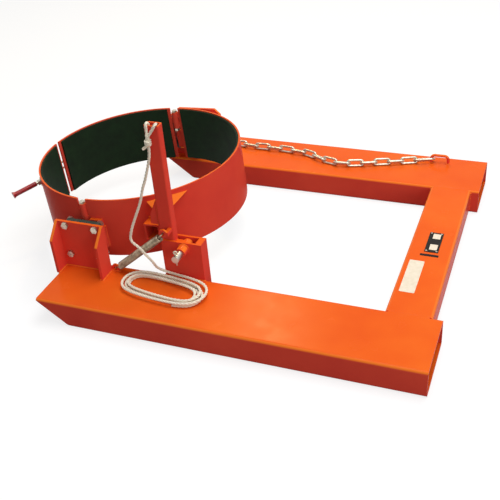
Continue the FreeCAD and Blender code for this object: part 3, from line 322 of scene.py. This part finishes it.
def turned_steel():
    # Bright turned bar: a cool clean metal with fine tool rings along the pin. A wave's bands come
    # out at about a third of the size that its scale is given for.
    material, tree, shader, place = blank_finish("bright_turned_steel")
    rings = node(tree, "ShaderNodeTexWave", {"bands_direction": "Y"},
                 {"Vector": place, "Scale": per(12.566), "Distortion": 0.6, "Detail": 2}).outputs["Fac"]
    tone = graded(tree, rings, ((0, "#B5B2A8"), (1, "#D2CFC4")))
    tree.links.new(tone, shader.inputs["Base Color"])
    skin = node(tree, "ShaderNodeBump", None, {"Height": rings, "Strength": 0.15, "Distance": 0.0001})
    tree.links.new(skin.outputs["Normal"], shader.inputs["Normal"])
    shader.inputs["Metallic"].default_value = 1
    shader.inputs["Roughness"].default_value = 0.3
    return material


def oiled_spring():
    # Hard-drawn spring wire left in its oil: a dull brown-grey metal, darker where dust has stuck.
    material, tree, shader, place = blank_finish("oiled_spring_wire")
    dust = node(tree, "ShaderNodeTexNoise", None,
                {"Vector": place, "Scale": per(11), "Detail": 4}).outputs["Fac"]
    tone = graded(tree, dust, ((0.3, "#7D6F5C"), (0.55, "#A3967F"), (0.8, "#BDB29C")))
    tree.links.new(tone, shader.inputs["Base Color"])
    shader.inputs["Metallic"].default_value = 0.9
    shader.inputs["Roughness"].default_value = 0.38
    return material


def sheet_rubber():
    # Insertion rubber glued inside the ring: green-black and matt, with a cloth-pressed skin and
    # a little dust.
    material, tree, shader, place = blank_finish("insertion_sheet_rubber")
    dust = node(tree, "ShaderNodeTexNoise", None,
                {"Vector": place, "Scale": per(45), "Detail": 6, "Roughness": 0.65}).outputs["Fac"]
    tone = graded(tree, dust, ((0.35, "#0B1A09"), (0.6, "#11250F"), (0.85, "#1B3018")))
    tree.links.new(tone, shader.inputs["Base Color"])
    grain = node(tree, "ShaderNodeTexNoise", None,
                 {"Vector": place, "Scale": per(1.6), "Detail": 1}).outputs["Fac"]
    skin = node(tree, "ShaderNodeBump", None, {"Height": grain, "Strength": 0.3, "Distance": 0.0003})
    tree.links.new(skin.outputs["Normal"], shader.inputs["Normal"])
    shader.inputs["Roughness"].default_value = 0.66
    shader.inputs["Specular IOR Level"].default_value = 0.15
    return material


def laid_cotton():
    # Three-strand cotton: pale cream yarn, soft and matt, with yarns that run round each strand.
    material, tree, shader, _ = blank_finish("laid_cotton")
    lay = node(tree, "ShaderNodeUVMap", {"uv_map": "lay"}).outputs["UV"]
    slant = node(tree, "ShaderNodeMapping", None, {"Vector": lay, "Scale": (5, per(9), 1),
                                                   "Rotation": (0, 0, 0.5)}).outputs["Vector"]
    yarn = node(tree, "ShaderNodeTexNoise", None, {"Vector": slant, "Scale": 3, "Detail": 3}).outputs["Fac"]
    tone = graded(tree, yarn, ((0.25, "#E2D5B4"), (0.5, "#F5EDD8"), (0.8, "#FCF8EE")))
    tree.links.new(tone, shader.inputs["Base Color"])
    skin = node(tree, "ShaderNodeBump", None, {"Height": yarn, "Strength": 0.6, "Distance": 0.0006})
    tree.links.new(skin.outputs["Normal"], shader.inputs["Normal"])
    shader.inputs["Roughness"].default_value = 0.9
    shader.inputs["Sheen Weight"].default_value = 0.2
    shader.inputs["Specular IOR Level"].default_value = 0.2
    return material


def dipped_vinyl():
    # Vinyl dipped over the clamp's handle: a deep red, soft-glossy skin.
    material, tree, shader, place = blank_finish("dipped_red_vinyl")
    flow = node(tree, "ShaderNodeTexNoise", None,
                {"Vector": place, "Scale": per(14), "Detail": 2}).outputs["Fac"]
    tone = graded(tree, flow, ((0.3, "#8E1418"), (0.7, "#B01E22")))
    tree.links.new(tone, shader.inputs["Base Color"])
    shader.inputs["Roughness"].default_value = 0.35
    return material


def plate_enamel():
    # Stamped aluminium plate with a baked black enamel face: flat, dark, faintly speckled.
    material, tree, shader, place = blank_finish("baked_black_enamel")
    speckle = node(tree, "ShaderNodeTexNoise", None,
                   {"Vector": place, "Scale": per(2), "Detail": 3}).outputs["Fac"]
    tone = graded(tree, speckle, ((0.35, "#12110F"), (0.75, "#2B2926")))
    tree.links.new(tone, shader.inputs["Base Color"])
    shader.inputs["Roughness"].default_value = 0.4
    shader.inputs["Specular IOR Level"].default_value = 0.1
    return material


def label_vinyl(name, shade, light):
    # Flat colour with a slight satin bloom, as on self-adhesive vinyl film.
    material, tree, shader, place = blank_finish(name)
    bloom = node(tree, "ShaderNodeTexNoise", None,
                 {"Vector": place, "Scale": per(12), "Detail": 3}).outputs["Fac"]
    tone = graded(tree, bloom, ((0.3, shade), (0.7, light)))
    tree.links.new(tone, shader.inputs["Base Color"])
    shader.inputs["Roughness"].default_value = 0.45
    shader.inputs["Specular IOR Level"].default_value = 0.1
    return material


enamel = orange_enamel()
iron = cast_green()
zinc = zinc_plating()
steel = turned_steel()
spring_wire = oiled_spring()
rubber = sheet_rubber()
cotton = laid_cotton()
vinyl = dipped_vinyl()
black_plate = plate_enamel()
pale_label = label_vinyl("pale_label_vinyl", "#E2D6C0", "#EDE3D1")
dark_strip_finish = label_vinyl("dark_strip_film", "#14100F", "#1E1817")

SLOT_FINISHES = {
    "orange_paint": enamel, "bearing_paint": iron, "bright_steel": steel, "zinc_plate": zinc,
    "black_rubber": rubber, "cotton_rope": cotton, "red_vinyl": vinyl, "plate_enamel": black_plate,
}
for part in frame["record"]["subparts"]:
    mesh = nodes[part["node"]].data
    mesh.materials.clear()
    mesh.materials.append(SLOT_FINISHES[part["material_slot"]])


# Pull rope: one line from the knot to the hank's end
ROPE_DIAMETER = 0.008
LAY_LENGTH = 0.03
# the knot's axis, the height where the fall leaves it, and the height under which the rope lies still
KNOT_X_MM, KNOT_Y_MM, EXIT_Z_MM, STILL_Z_MM = -659, -326, 466, 125
KNOT_TOP_MM, KNOT_RADIUS_MM, KNOT_PITCH_MM = 486, 5.6, 5.8
KNOT_STEPS, KNOT_STEPS_PER_TURN = 26, 11

# the hank, wound as in the part's source: sizes in millimetres, and counts in turns of rope
HANK_CENTRE = mm(PIVOT_X_MM - 42, -POCKET_SIDE_MM - 75, POCKET_TOP_MM + 4.3)
HANK_STRAIGHT, HANK_BEND, HANK_STEP, HANK_LAYER, HANK_LEAD = 68, 57, 9.6, 8.8, 16
HANK_FREE_END, HANK_INMOST, HANK_TOP = 0.55, 2.9, 5.0
HANK_OUT_PACE = 1.65
HANK_CLIMB = (2.6, 2.95)
HANK_HEADINGS = (-8, -5)
HANK_SQUARENESS = 2.5
HANK_POINTS_PER_TURN = 20


def eased(share):
    """A share from 0 to 1 that starts and stops gently."""
    share = min(max(share, 0), 1)
    return share * share * (3 - 2 * share)


def hank_place(turn):
    """Where the hank's rope lies after so many turns of a rounded oval."""
    loops_in = min(turn, HANK_INMOST) - HANK_OUT_PACE * max(turn - HANK_INMOST, 0)
    bend = HANK_BEND - HANK_STEP * loops_in
    angle = math.pi * (2 * turn + 0.5)
    run = math.tanh(HANK_SQUARENESS * math.cos(angle)) / math.tanh(HANK_SQUARENESS)
    low, high = HANK_CLIMB
    first, last = HANK_HEADINGS
    heading = first + (last - first) * eased((turn - high) / (HANK_TOP - high))
    place = mm(HANK_STRAIGHT * run + bend * math.cos(angle), bend * math.sin(angle),
               HANK_LAYER * eased((turn - low) / (high - low)))
    return HANK_CENTRE + Matrix.Rotation(math.radians(heading), 3, "Z") @ place


hank_steps = int((HANK_TOP - HANK_FREE_END) * HANK_POINTS_PER_TURN)
hank_route = [hank_place(HANK_TOP - step / HANK_POINTS_PER_TURN) for step in range(hank_steps + 1)]
rope_exit = mm(KNOT_X_MM, KNOT_Y_MM, EXIT_Z_MM)
rope_route = [rope_exit] + [mm(PIVOT_X_MM + x, -POCKET_SIDE_MM + y, z) for x, y, z in (
    (-56.5, -9, 450), (-62.5, -9.5, 424), (-80, -11, 372), (-90.5, -14, 347), (-99.5, -19, 308.5),
    (-123, -26, 255), (-135, -33, 222), (-140, -37, 194), (-113, -41, 180), (-97.5, -43, 162.5),
    (-76.5, -42, 138.5), (-78, -33, 120), (-72, -21, 103))]
lead_way = (hank_route[0] - hank_route[1]).normalized()
rope_route.append(hank_route[0] + lead_way * (HANK_LEAD / 1000))
rope_route += hank_route
rope_line = smooth_line(rope_route)
points, faces, uvs = laid_rope(rope_line, ROPE_DIAMETER, LAY_LENGTH)
rope = piece("pull_rope", points, faces, None, cotton, True, uvs)
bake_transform(rope)
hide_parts("rope_drop", "rope_hank")

# hitch on the lever: through the hole, over the rim at its corner and back, a second strand from
# the knot over the rim into the tube, two turns of knot and a tail
loop_line = smooth_line([mm(*place) for place in (
    (-659, -326, 474), (-659, -325.5, 486), (-659, -321, 494.5), (-659, -314.5, 497), (-655, -309, 500),
    (-646, -308.2, 511), (-640, -308.4, 521), (-637, -311.5, 525.5), (-637, -317.5, 525.5),
    (-640, -320.9, 521), (-647, -321.3, 510), (-654.5, -323.5, 499.5), (-659, -326, 492),
    (-659.5, -327, 484))])
second_line = smooth_line([mm(*place) for place in (
    (-660, -327, 484), (-661, -325.8, 493), (-661.5, -322, 502), (-662, -320.8, 512), (-662, -320.7, 521),
    (-662, -317.5, 525.5), (-662, -311.5, 525.5), (-661, -308.3, 521), (-660, -308.2, 510),
    (-659, -308.4, 503))])
knot_route = []
for step in range(KNOT_STEPS):
    turn = 2 * math.pi * step / KNOT_STEPS_PER_TURN
    knot_route.append(mm(KNOT_X_MM + KNOT_RADIUS_MM * math.cos(turn),
                         KNOT_Y_MM + KNOT_RADIUS_MM * math.sin(turn),
                         KNOT_TOP_MM - KNOT_PITCH_MM * step / KNOT_STEPS_PER_TURN))
knot_route += [mm(-661.5, -328, 471.5), mm(-667, -330.5, 467.5), mm(-672.5, -333, 462.5)]
stem_line = smooth_line([rope_exit] + [mm(KNOT_X_MM, KNOT_Y_MM, height) for height in (474, 487)])
points, faces, uvs = joined(laid_rope(loop_line, ROPE_DIAMETER, LAY_LENGTH),
                            laid_rope(second_line, ROPE_DIAMETER, LAY_LENGTH),
                            laid_rope(smooth_line(knot_route), ROPE_DIAMETER, LAY_LENGTH),
                            laid_rope(stem_line, ROPE_DIAMETER, LAY_LENGTH))
hitch = piece("rope_hitch", points, faces, "latch_lever", cotton, True, uvs)
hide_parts("rope_knot")

# Extension spring between the pocket's lug and the lever's eye
COIL, BEND, WIRE, WIRE_SIDES = 0.0092, 0.004, 0.0018, 10
HALF_TURNS, STEPS_PER_TURN = 20.25, 20
# from the lug's and the eye's middle to the loop's end, the neck between coil and loop, and the end
# of wire that keeps its shape when the spring stretches
LOOP_SEAT, NECK, STIFF_END = 0.0026, 0.007, 0.012
BEND_STEPS, LOOP_STEPS = 6, 12
spring_eye, spring_foot = mm(-648, -340, 224), mm(-813.5, -340, 85)
spring_run = (spring_eye - spring_foot).normalized()
half_reach = (spring_eye - spring_foot).length / 2 - LOOP_SEAT
loop_foot = half_reach - COIL
coil_end = loop_foot - NECK
coil_steps = HALF_TURNS * STEPS_PER_TURN
upper = []
for step in range(int(coil_steps) + 1):
    turn = 2 * math.pi * step / STEPS_PER_TURN
    upper.append(Vector((COIL * math.cos(turn), COIL * math.sin(turn), coil_end * step / coil_steps)))
side = math.copysign(1, upper[-1].y)
hook_x = BEND * math.copysign(1, -COIL * math.sin(2 * math.pi * HALF_TURNS))
for step in range(1, BEND_STEPS + 1):
    turn = math.pi / 2 * step / BEND_STEPS
    upper.append(Vector((hook_x * math.sin(turn), COIL * side, coil_end + BEND * (1 - math.cos(turn)))))
for step in range(LOOP_STEPS + 1):
    turn = math.pi * step / LOOP_STEPS
    upper.append(Vector((hook_x, COIL * side * math.cos(turn), loop_foot + COIL * math.sin(turn))))
wire = [Vector((p.x, -p.y, -p.z)) for p in reversed(upper[1:])] + upper
across = Vector((0, 1, 0))
spring_frame = Matrix((across.cross(spring_run), across, spring_run)).transposed()
middle = (spring_eye + spring_foot) / 2
wire = [middle + spring_frame @ (p - Vector((hook_x, 0, 0))) for p in wire]
points, faces, uvs = round_wire(wire, WIRE, WIRE_SIDES)
spring = piece("extension_spring", points, faces, None, spring_wire, True, uvs)
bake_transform(spring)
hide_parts("latch_spring")


# Unlettered labels and a dark strip on the cross member
FILM_MM, PLATE_TOP_MM = 0.4, 77.2
CORNER_STEPS = 4


def film(name, low, high, base_mm, corner_mm, finish):
    """A thin closed sheet with round corners, between two corners in plan."""
    outline = []
    for x_way, y_way, first in ((1, 1, 0), (-1, 1, 90), (-1, -1, 180), (1, -1, 270)):
        x = (high[0] if x_way > 0 else low[0]) - x_way * corner_mm
        y = (high[1] if y_way > 0 else low[1]) - y_way * corner_mm
        for step in range(CORNER_STEPS + 1):
            turn = math.radians(first + 90 / CORNER_STEPS * step)
            outline.append((x + corner_mm * math.cos(turn), y + corner_mm * math.sin(turn)))
    count = len(outline)
    points = [mm(x, y, base_mm + rise) for rise in (0, FILM_MM) for x, y in outline]
    faces = [tuple(reversed(range(count))), tuple(range(count, 2 * count))]
    faces += [(i, (i + 1) % count, count + (i + 1) % count, count + i) for i in range(count)]
    sheet = piece(name, points, faces, "base_frame", finish, False)


film("capacity_panel", (-8, 28), (13, 53), PLATE_TOP_MM, 1.5, pale_label)
film("serial_panel", (-8, -28), (13, -1), PLATE_TOP_MM, 1.5, pale_label)
# a thin dark sheet laid along the dark line below the rating plate
film("dark_strip", (-27, -59), (23, -49), POCKET_TOP_MM, 1.5, dark_strip_finish)
film("blank_label", (-48, -232), (-8, -86), POCKET_TOP_MM, 3, pale_label)


# Weld beads
BEAD_SPACING, BEAD_LEAST, BEAD_MOST = 0.0028, 0.0026, 0.0033
BEAD_SEED, BEAD_STRETCH = 7, (1, 1, 1.15)


def bead_tree():
    """Flattened drops, laid one over the next along the edges of a mesh."""
    tree = bpy.data.node_groups.new("weld_bead", "GeometryNodeTree")
    face = tree.interface
    face.new_socket("Seams", in_out="INPUT", socket_type="NodeSocketGeometry")
    for name in ("Spacing", "Least size", "Most size"):
        face.new_socket(name, in_out="INPUT", socket_type="NodeSocketFloat")
    face.new_socket("Finish", in_out="INPUT", socket_type="NodeSocketMaterial")
    face.new_socket("Beads", in_out="OUTPUT", socket_type="NodeSocketGeometry")
    given = node(tree, "NodeGroupInput").outputs
    seams = node(tree, "GeometryNodeMeshToCurve", None, {"Mesh": given["Seams"]})
    places = node(tree, "GeometryNodeCurveToPoints", {"mode": "LENGTH"},
                  {"Curve": seams.outputs["Curve"], "Length": given["Spacing"]})
    ball = node(tree, "GeometryNodeMeshUVSphere", None, {"Segments": 8, "Rings": 6, "Radius": 1})
    drop = node(tree, "GeometryNodeTransform", None,
                {"Geometry": ball.outputs["Mesh"], "Scale": BEAD_STRETCH})
    scale = node(tree, "FunctionNodeRandomValue", {"data_type": "FLOAT"}, {"Seed": BEAD_SEED})
    tree.links.new(given["Least size"], scale.inputs[2])
    tree.links.new(given["Most size"], scale.inputs[3])
    drops = node(tree, "GeometryNodeInstanceOnPoints", None,
                 {"Points": places.outputs["Points"], "Instance": drop.outputs["Geometry"],
                  "Rotation": places.outputs["Rotation"], "Scale": scale.outputs[1]})
    solid = node(tree, "GeometryNodeRealizeInstances", None, {"Geometry": drops.outputs["Instances"]})
    smoothed = node(tree, "GeometryNodeSetShadeSmooth", None, {"Geometry": solid.outputs["Geometry"]})
    painted = node(tree, "GeometryNodeSetMaterial", None,
                   {"Geometry": smoothed.outputs["Geometry"], "Material": given["Finish"]})
    node(tree, "NodeGroupOutput", None, {"Beads": painted.outputs["Geometry"]})
    return tree


def weld(name, body, seams, tree):
    """Weld beads along lines in metres, as one mesh on a body."""
    points, edges = [], []
    for line in seams:
        edges += [(len(points) + i, len(points) + i + 1) for i in range(len(line) - 1)]
        points += [tuple(p) for p in line]
    mesh = bpy.data.meshes.new(name + "_seams")
    mesh.from_pydata(points, edges, [])
    holder = bpy.data.objects.new(name + "_seams", mesh)
    bpy.context.scene.collection.objects.link(holder)
    grow = holder.modifiers.new("bead", "NODES")
    grow.node_group = tree
    settings = {"Spacing": BEAD_SPACING, "Least size": BEAD_LEAST, "Most size": BEAD_MOST, "Finish": enamel}
    for key, value in settings.items():
        grow[tree.interface.items_tree[key].identifier] = value
    holder.update_tag()
    bpy.context.view_layer.update()
    seen = holder.evaluated_get(bpy.context.evaluated_depsgraph_get())
    beads = bpy.data.meshes.new_from_object(seen)
    holder.modifiers.remove(grow)
    bpy.data.objects.remove(holder)
    thing = bpy.data.objects.new(name, beads)
    bpy.context.scene.collection.objects.link(thing)
    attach(thing, body)


# the ring: its trunnions, its tilt, and its shell's radius and centre from the trunnions
TRUNNION_X_MM, TRUNNION_Z_MM, RING_TILT = -895.25, 165, math.radians(-3.1)
SHELL_RADIUS_MM, SHELL_BACK_MM = 302.5, 19
# the trunnion pad's lower and upper edge, the stretch of it that is welded, and the catch stub's sides
PAD_EDGES_MM, PAD_WELD_MM = (-40, 24), (-6, 48)
STUB_EDGES_MM, STUB_WELD_MM = (-8, 42), (170, 216.4)
SHELL_STEPS = 8
# the trunnion bracket's plate faces, gusset faces and ends
BRACKET_INNER_MM, BRACKET_OUTER_MM, GUSSET_TIP_MM = 343, 351, 393
BRACKET_REACH_MM, GUSSETS_MM = (-973.25, -825.25), (-965.25, -833.25)
CROSS_MEMBER_MM, CROSS_WELD_MM = (-64, 56), (10, 66)
CHEEK_ENDS_MM = (-668, -552)
BOSS_RADIUS_MM, BOSS_Z_MM = 14, 172
LUG_ENDS_MM, LUG_SIDES_MM = (-825.5, -801.5), (-343, -337)
STAPLE_FEET_MM, STAPLE_Y_MM, STAPLE_RADIUS_MM = (-92, -38), 474, 5
HOOK_X_MM, HOOK_SIDES_MM, HOOK_WELD_MM = -671, (-312, -302), (231, 303)


def ring_place(x, y, z):
    """A place given in the ring's own frame, which is tilted about the trunnions."""
    cosine, sine = math.cos(RING_TILT), math.sin(RING_TILT)
    return mm(TRUNNION_X_MM + x * cosine + z * sine, y, TRUNNION_Z_MM - x * sine + z * cosine)


def on_shell(x, z, far):
    """A place on the ring shell's outer face."""
    return ring_place(x, far * math.sqrt(SHELL_RADIUS_MM ** 2 - (x - SHELL_BACK_MM) ** 2), z)


def along_shell(reach_mm, z, far):
    """A level seam on the ring shell."""
    start, end = reach_mm
    return [on_shell(start + (end - start) * step / SHELL_STEPS, z, far) for step in range(SHELL_STEPS + 1)]


def up_shell(x, edges, far):
    """An upright seam on the ring shell."""
    return [on_shell(x, z, far) for z in edges]


def level_seam(xs, y):
    """A seam along a pocket's top."""
    return [mm(x, y, POCKET_TOP_MM) for x in xs]


def round_seam(radius, degrees, place):
    """A seam round a centre: place() takes the two offsets from it."""
    turns = [math.radians(angle) for angle in range(0, 361, degrees)]
    return [place(radius * math.cos(turn), radius * math.sin(turn)) for turn in turns]


base_seams, ring_seams = [], []
for far in (-1, 1):
    base_seams.append(level_seam(BRACKET_REACH_MM, far * BRACKET_INNER_MM))
    base_seams.append(level_seam(GUSSETS_MM, far * BRACKET_OUTER_MM))
    for x in (*GUSSETS_MM, BRACKET_REACH_MM[1]):
        base_seams.append([mm(x, far * y, POCKET_TOP_MM) for y in (BRACKET_OUTER_MM, GUSSET_TIP_MM)])
    for x in CROSS_MEMBER_MM:
        base_seams.append([mm(x, far * POCKET_SIDE_MM, z) for z in CROSS_WELD_MM])
    # none at the pad's front edge, where the door swings
    ring_seams += [along_shell(PAD_WELD_MM, z, far) for z in PAD_EDGES_MM]
    ring_seams.append(up_shell(PAD_WELD_MM[1], PAD_EDGES_MM, far))
base_seams.append(level_seam(CHEEK_ENDS_MM, CHEEK_Y_MM))
base_seams.append(round_seam(BOSS_RADIUS_MM, 15, lambda x, z: mm(PIVOT_X_MM + x, CHEEK_Y_MM, BOSS_Z_MM + z)))
base_seams += [level_seam(LUG_ENDS_MM, y) for y in LUG_SIDES_MM]
for foot in STAPLE_FEET_MM:
    base_seams.append(round_seam(STAPLE_RADIUS_MM, 30,
                                 lambda x, y: mm(foot + x, STAPLE_Y_MM + y, POCKET_TOP_MM)))
ring_seams += [along_shell(STUB_WELD_MM, z, -1) for z in STUB_EDGES_MM]
ring_seams += [up_shell(x, STUB_EDGES_MM, -1) for x in STUB_WELD_MM]
lever_seams = [[mm(HOOK_X_MM, y, z) for z in HOOK_WELD_MM] for y in HOOK_SIDES_MM]

# ground flush where the cross member's top meets the pockets' round edges: a low crown with a
# wandering border
FLUSH_SEED, FLUSH_START_MM, FLUSH_STEP_MM, FLUSH_STEPS = 5, -56, 3.85, 28
FLUSH_WANDER_MM, FLUSH_LOW_MM, FLUSH_CROWN_MM = 1.3, 75.9, 76.35
draw = random.Random(FLUSH_SEED)
points, faces = [], []
for far in (-1, 1):
    base = len(points)
    for step in range(FLUSH_STEPS):
        x = FLUSH_START_MM + FLUSH_STEP_MM * step
        wander = [draw.uniform(-FLUSH_WANDER_MM, FLUSH_WANDER_MM) for _ in range(2)]
        section = ((315 + wander[0], FLUSH_LOW_MM), (318.5, FLUSH_CROWN_MM), (322.5, FLUSH_CROWN_MM),
                   (326.5 + wander[1], FLUSH_LOW_MM), (321, 70))
        count = len(section)
        for y, z in section:
            points.append(mm(x, far * y, z))
        if step:
            low, high = base + count * (step - 1), base + count * step
            for side in range(count):
                following = (side + 1) % count
                quad = (low + side, low + following, high + following, high + side)
                faces.append(quad[::far])
    last = len(points) - count
    faces.append(tuple(range(base, base + count))[::-far])
    faces.append(tuple(range(last, last + count))[::far])
flush = piece("ground_welds", points, faces, "base_frame", enamel, False)
beads = bead_tree()
weld("frame_welds", "base_frame", base_seams, beads)
weld("ring_welds", "drum_ring", ring_seams, beads)
weld("lever_welds", "latch_lever", lever_seams, beads)


# Floor and light
def studio_light(name, place, aim, size, power, tint="#FFFFFF"):
    """A rectangular lamp at a place, aimed at another."""
    lamp = bpy.data.lights.new(name, "AREA")
    lamp.shape = "RECTANGLE"
    lamp.size, lamp.size_y = size
    lamp.energy = power
    lamp.color = colour(tint)[:3]
    holder = bpy.data.objects.new(name, lamp)
    bpy.context.scene.collection.objects.link(holder)
    holder.location = place
    holder.rotation_euler = (Vector(aim) - Vector(place)).to_track_quat("-Z", "Y").to_euler()


def seen_white(tree):
    """1 for rays of the camera, of gloss and of glass."""
    ray = node(tree, "ShaderNodeLightPath")
    first = node(tree, "ShaderNodeMath", {"operation": "MAXIMUM"},
                 {0: ray.outputs["Is Camera Ray"], 1: ray.outputs["Is Glossy Ray"]})
    return node(tree, "ShaderNodeMath", {"operation": "MAXIMUM"},
                {0: first.outputs[0], 1: ray.outputs["Is Transmission Ray"]}).outputs[0]


FLOOR_REACH, FLOOR_LIFT = 14, 0.78
SKY_LIGHT, SKY_SEEN = 0.32, 1
floor_corners = [(x * FLOOR_REACH, y * FLOOR_REACH, 0) for x, y in ((-1, -1), (1, -1), (1, 1), (-1, 1))]
floor = piece("studio_floor", floor_corners, [(0, 1, 2, 3)], None, None, False)
paper = bpy.data.materials.new("matt_white_floor")
paper.use_nodes = True
tree = paper.node_tree
tree.nodes.remove(tree.nodes["Principled BSDF"])
ground = node(tree, "ShaderNodeBsdfDiffuse", None, {"Color": colour("#8C8C8C")})
glow = node(tree, "ShaderNodeEmission", None, {"Color": (1, 1, 1, 1)})
lift = node(tree, "ShaderNodeMath", {"operation": "MULTIPLY"}, {0: seen_white(tree), 1: FLOOR_LIFT})
tree.links.new(lift.outputs[0], glow.inputs["Strength"])
both = node(tree, "ShaderNodeAddShader", None, {0: ground.outputs[0], 1: glow.outputs[0]})
tree.links.new(both.outputs[0], tree.nodes["Material Output"].inputs["Surface"])
floor.data.materials.append(paper)

world = bpy.data.worlds.new("studio")
bpy.context.scene.world = world
world.use_nodes = True
tree = world.node_tree
sky = tree.nodes["Background"]
sky.inputs["Color"].default_value = (1, 1, 1, 1)
bright = node(tree, "ShaderNodeMapRange", None,
              {"Value": seen_white(tree), "To Min": SKY_LIGHT, "To Max": SKY_SEEN})
tree.links.new(bright.outputs["Result"], sky.inputs["Strength"])
studio_light("top_softbox", (0.1, 0.3, 3.3), (-0.5, 0, 0), (2.6, 2.0), 86)
studio_light("right_fill", (2.6, -2.0, 1.3), (-0.5, 0, 0.1), (2, 1.6), 32)
studio_light("window", (-1.49, 2.41, 2.65), (-0.32, -0.47, 0.08), (0.25, 0.25), 22, "#FFDC96")
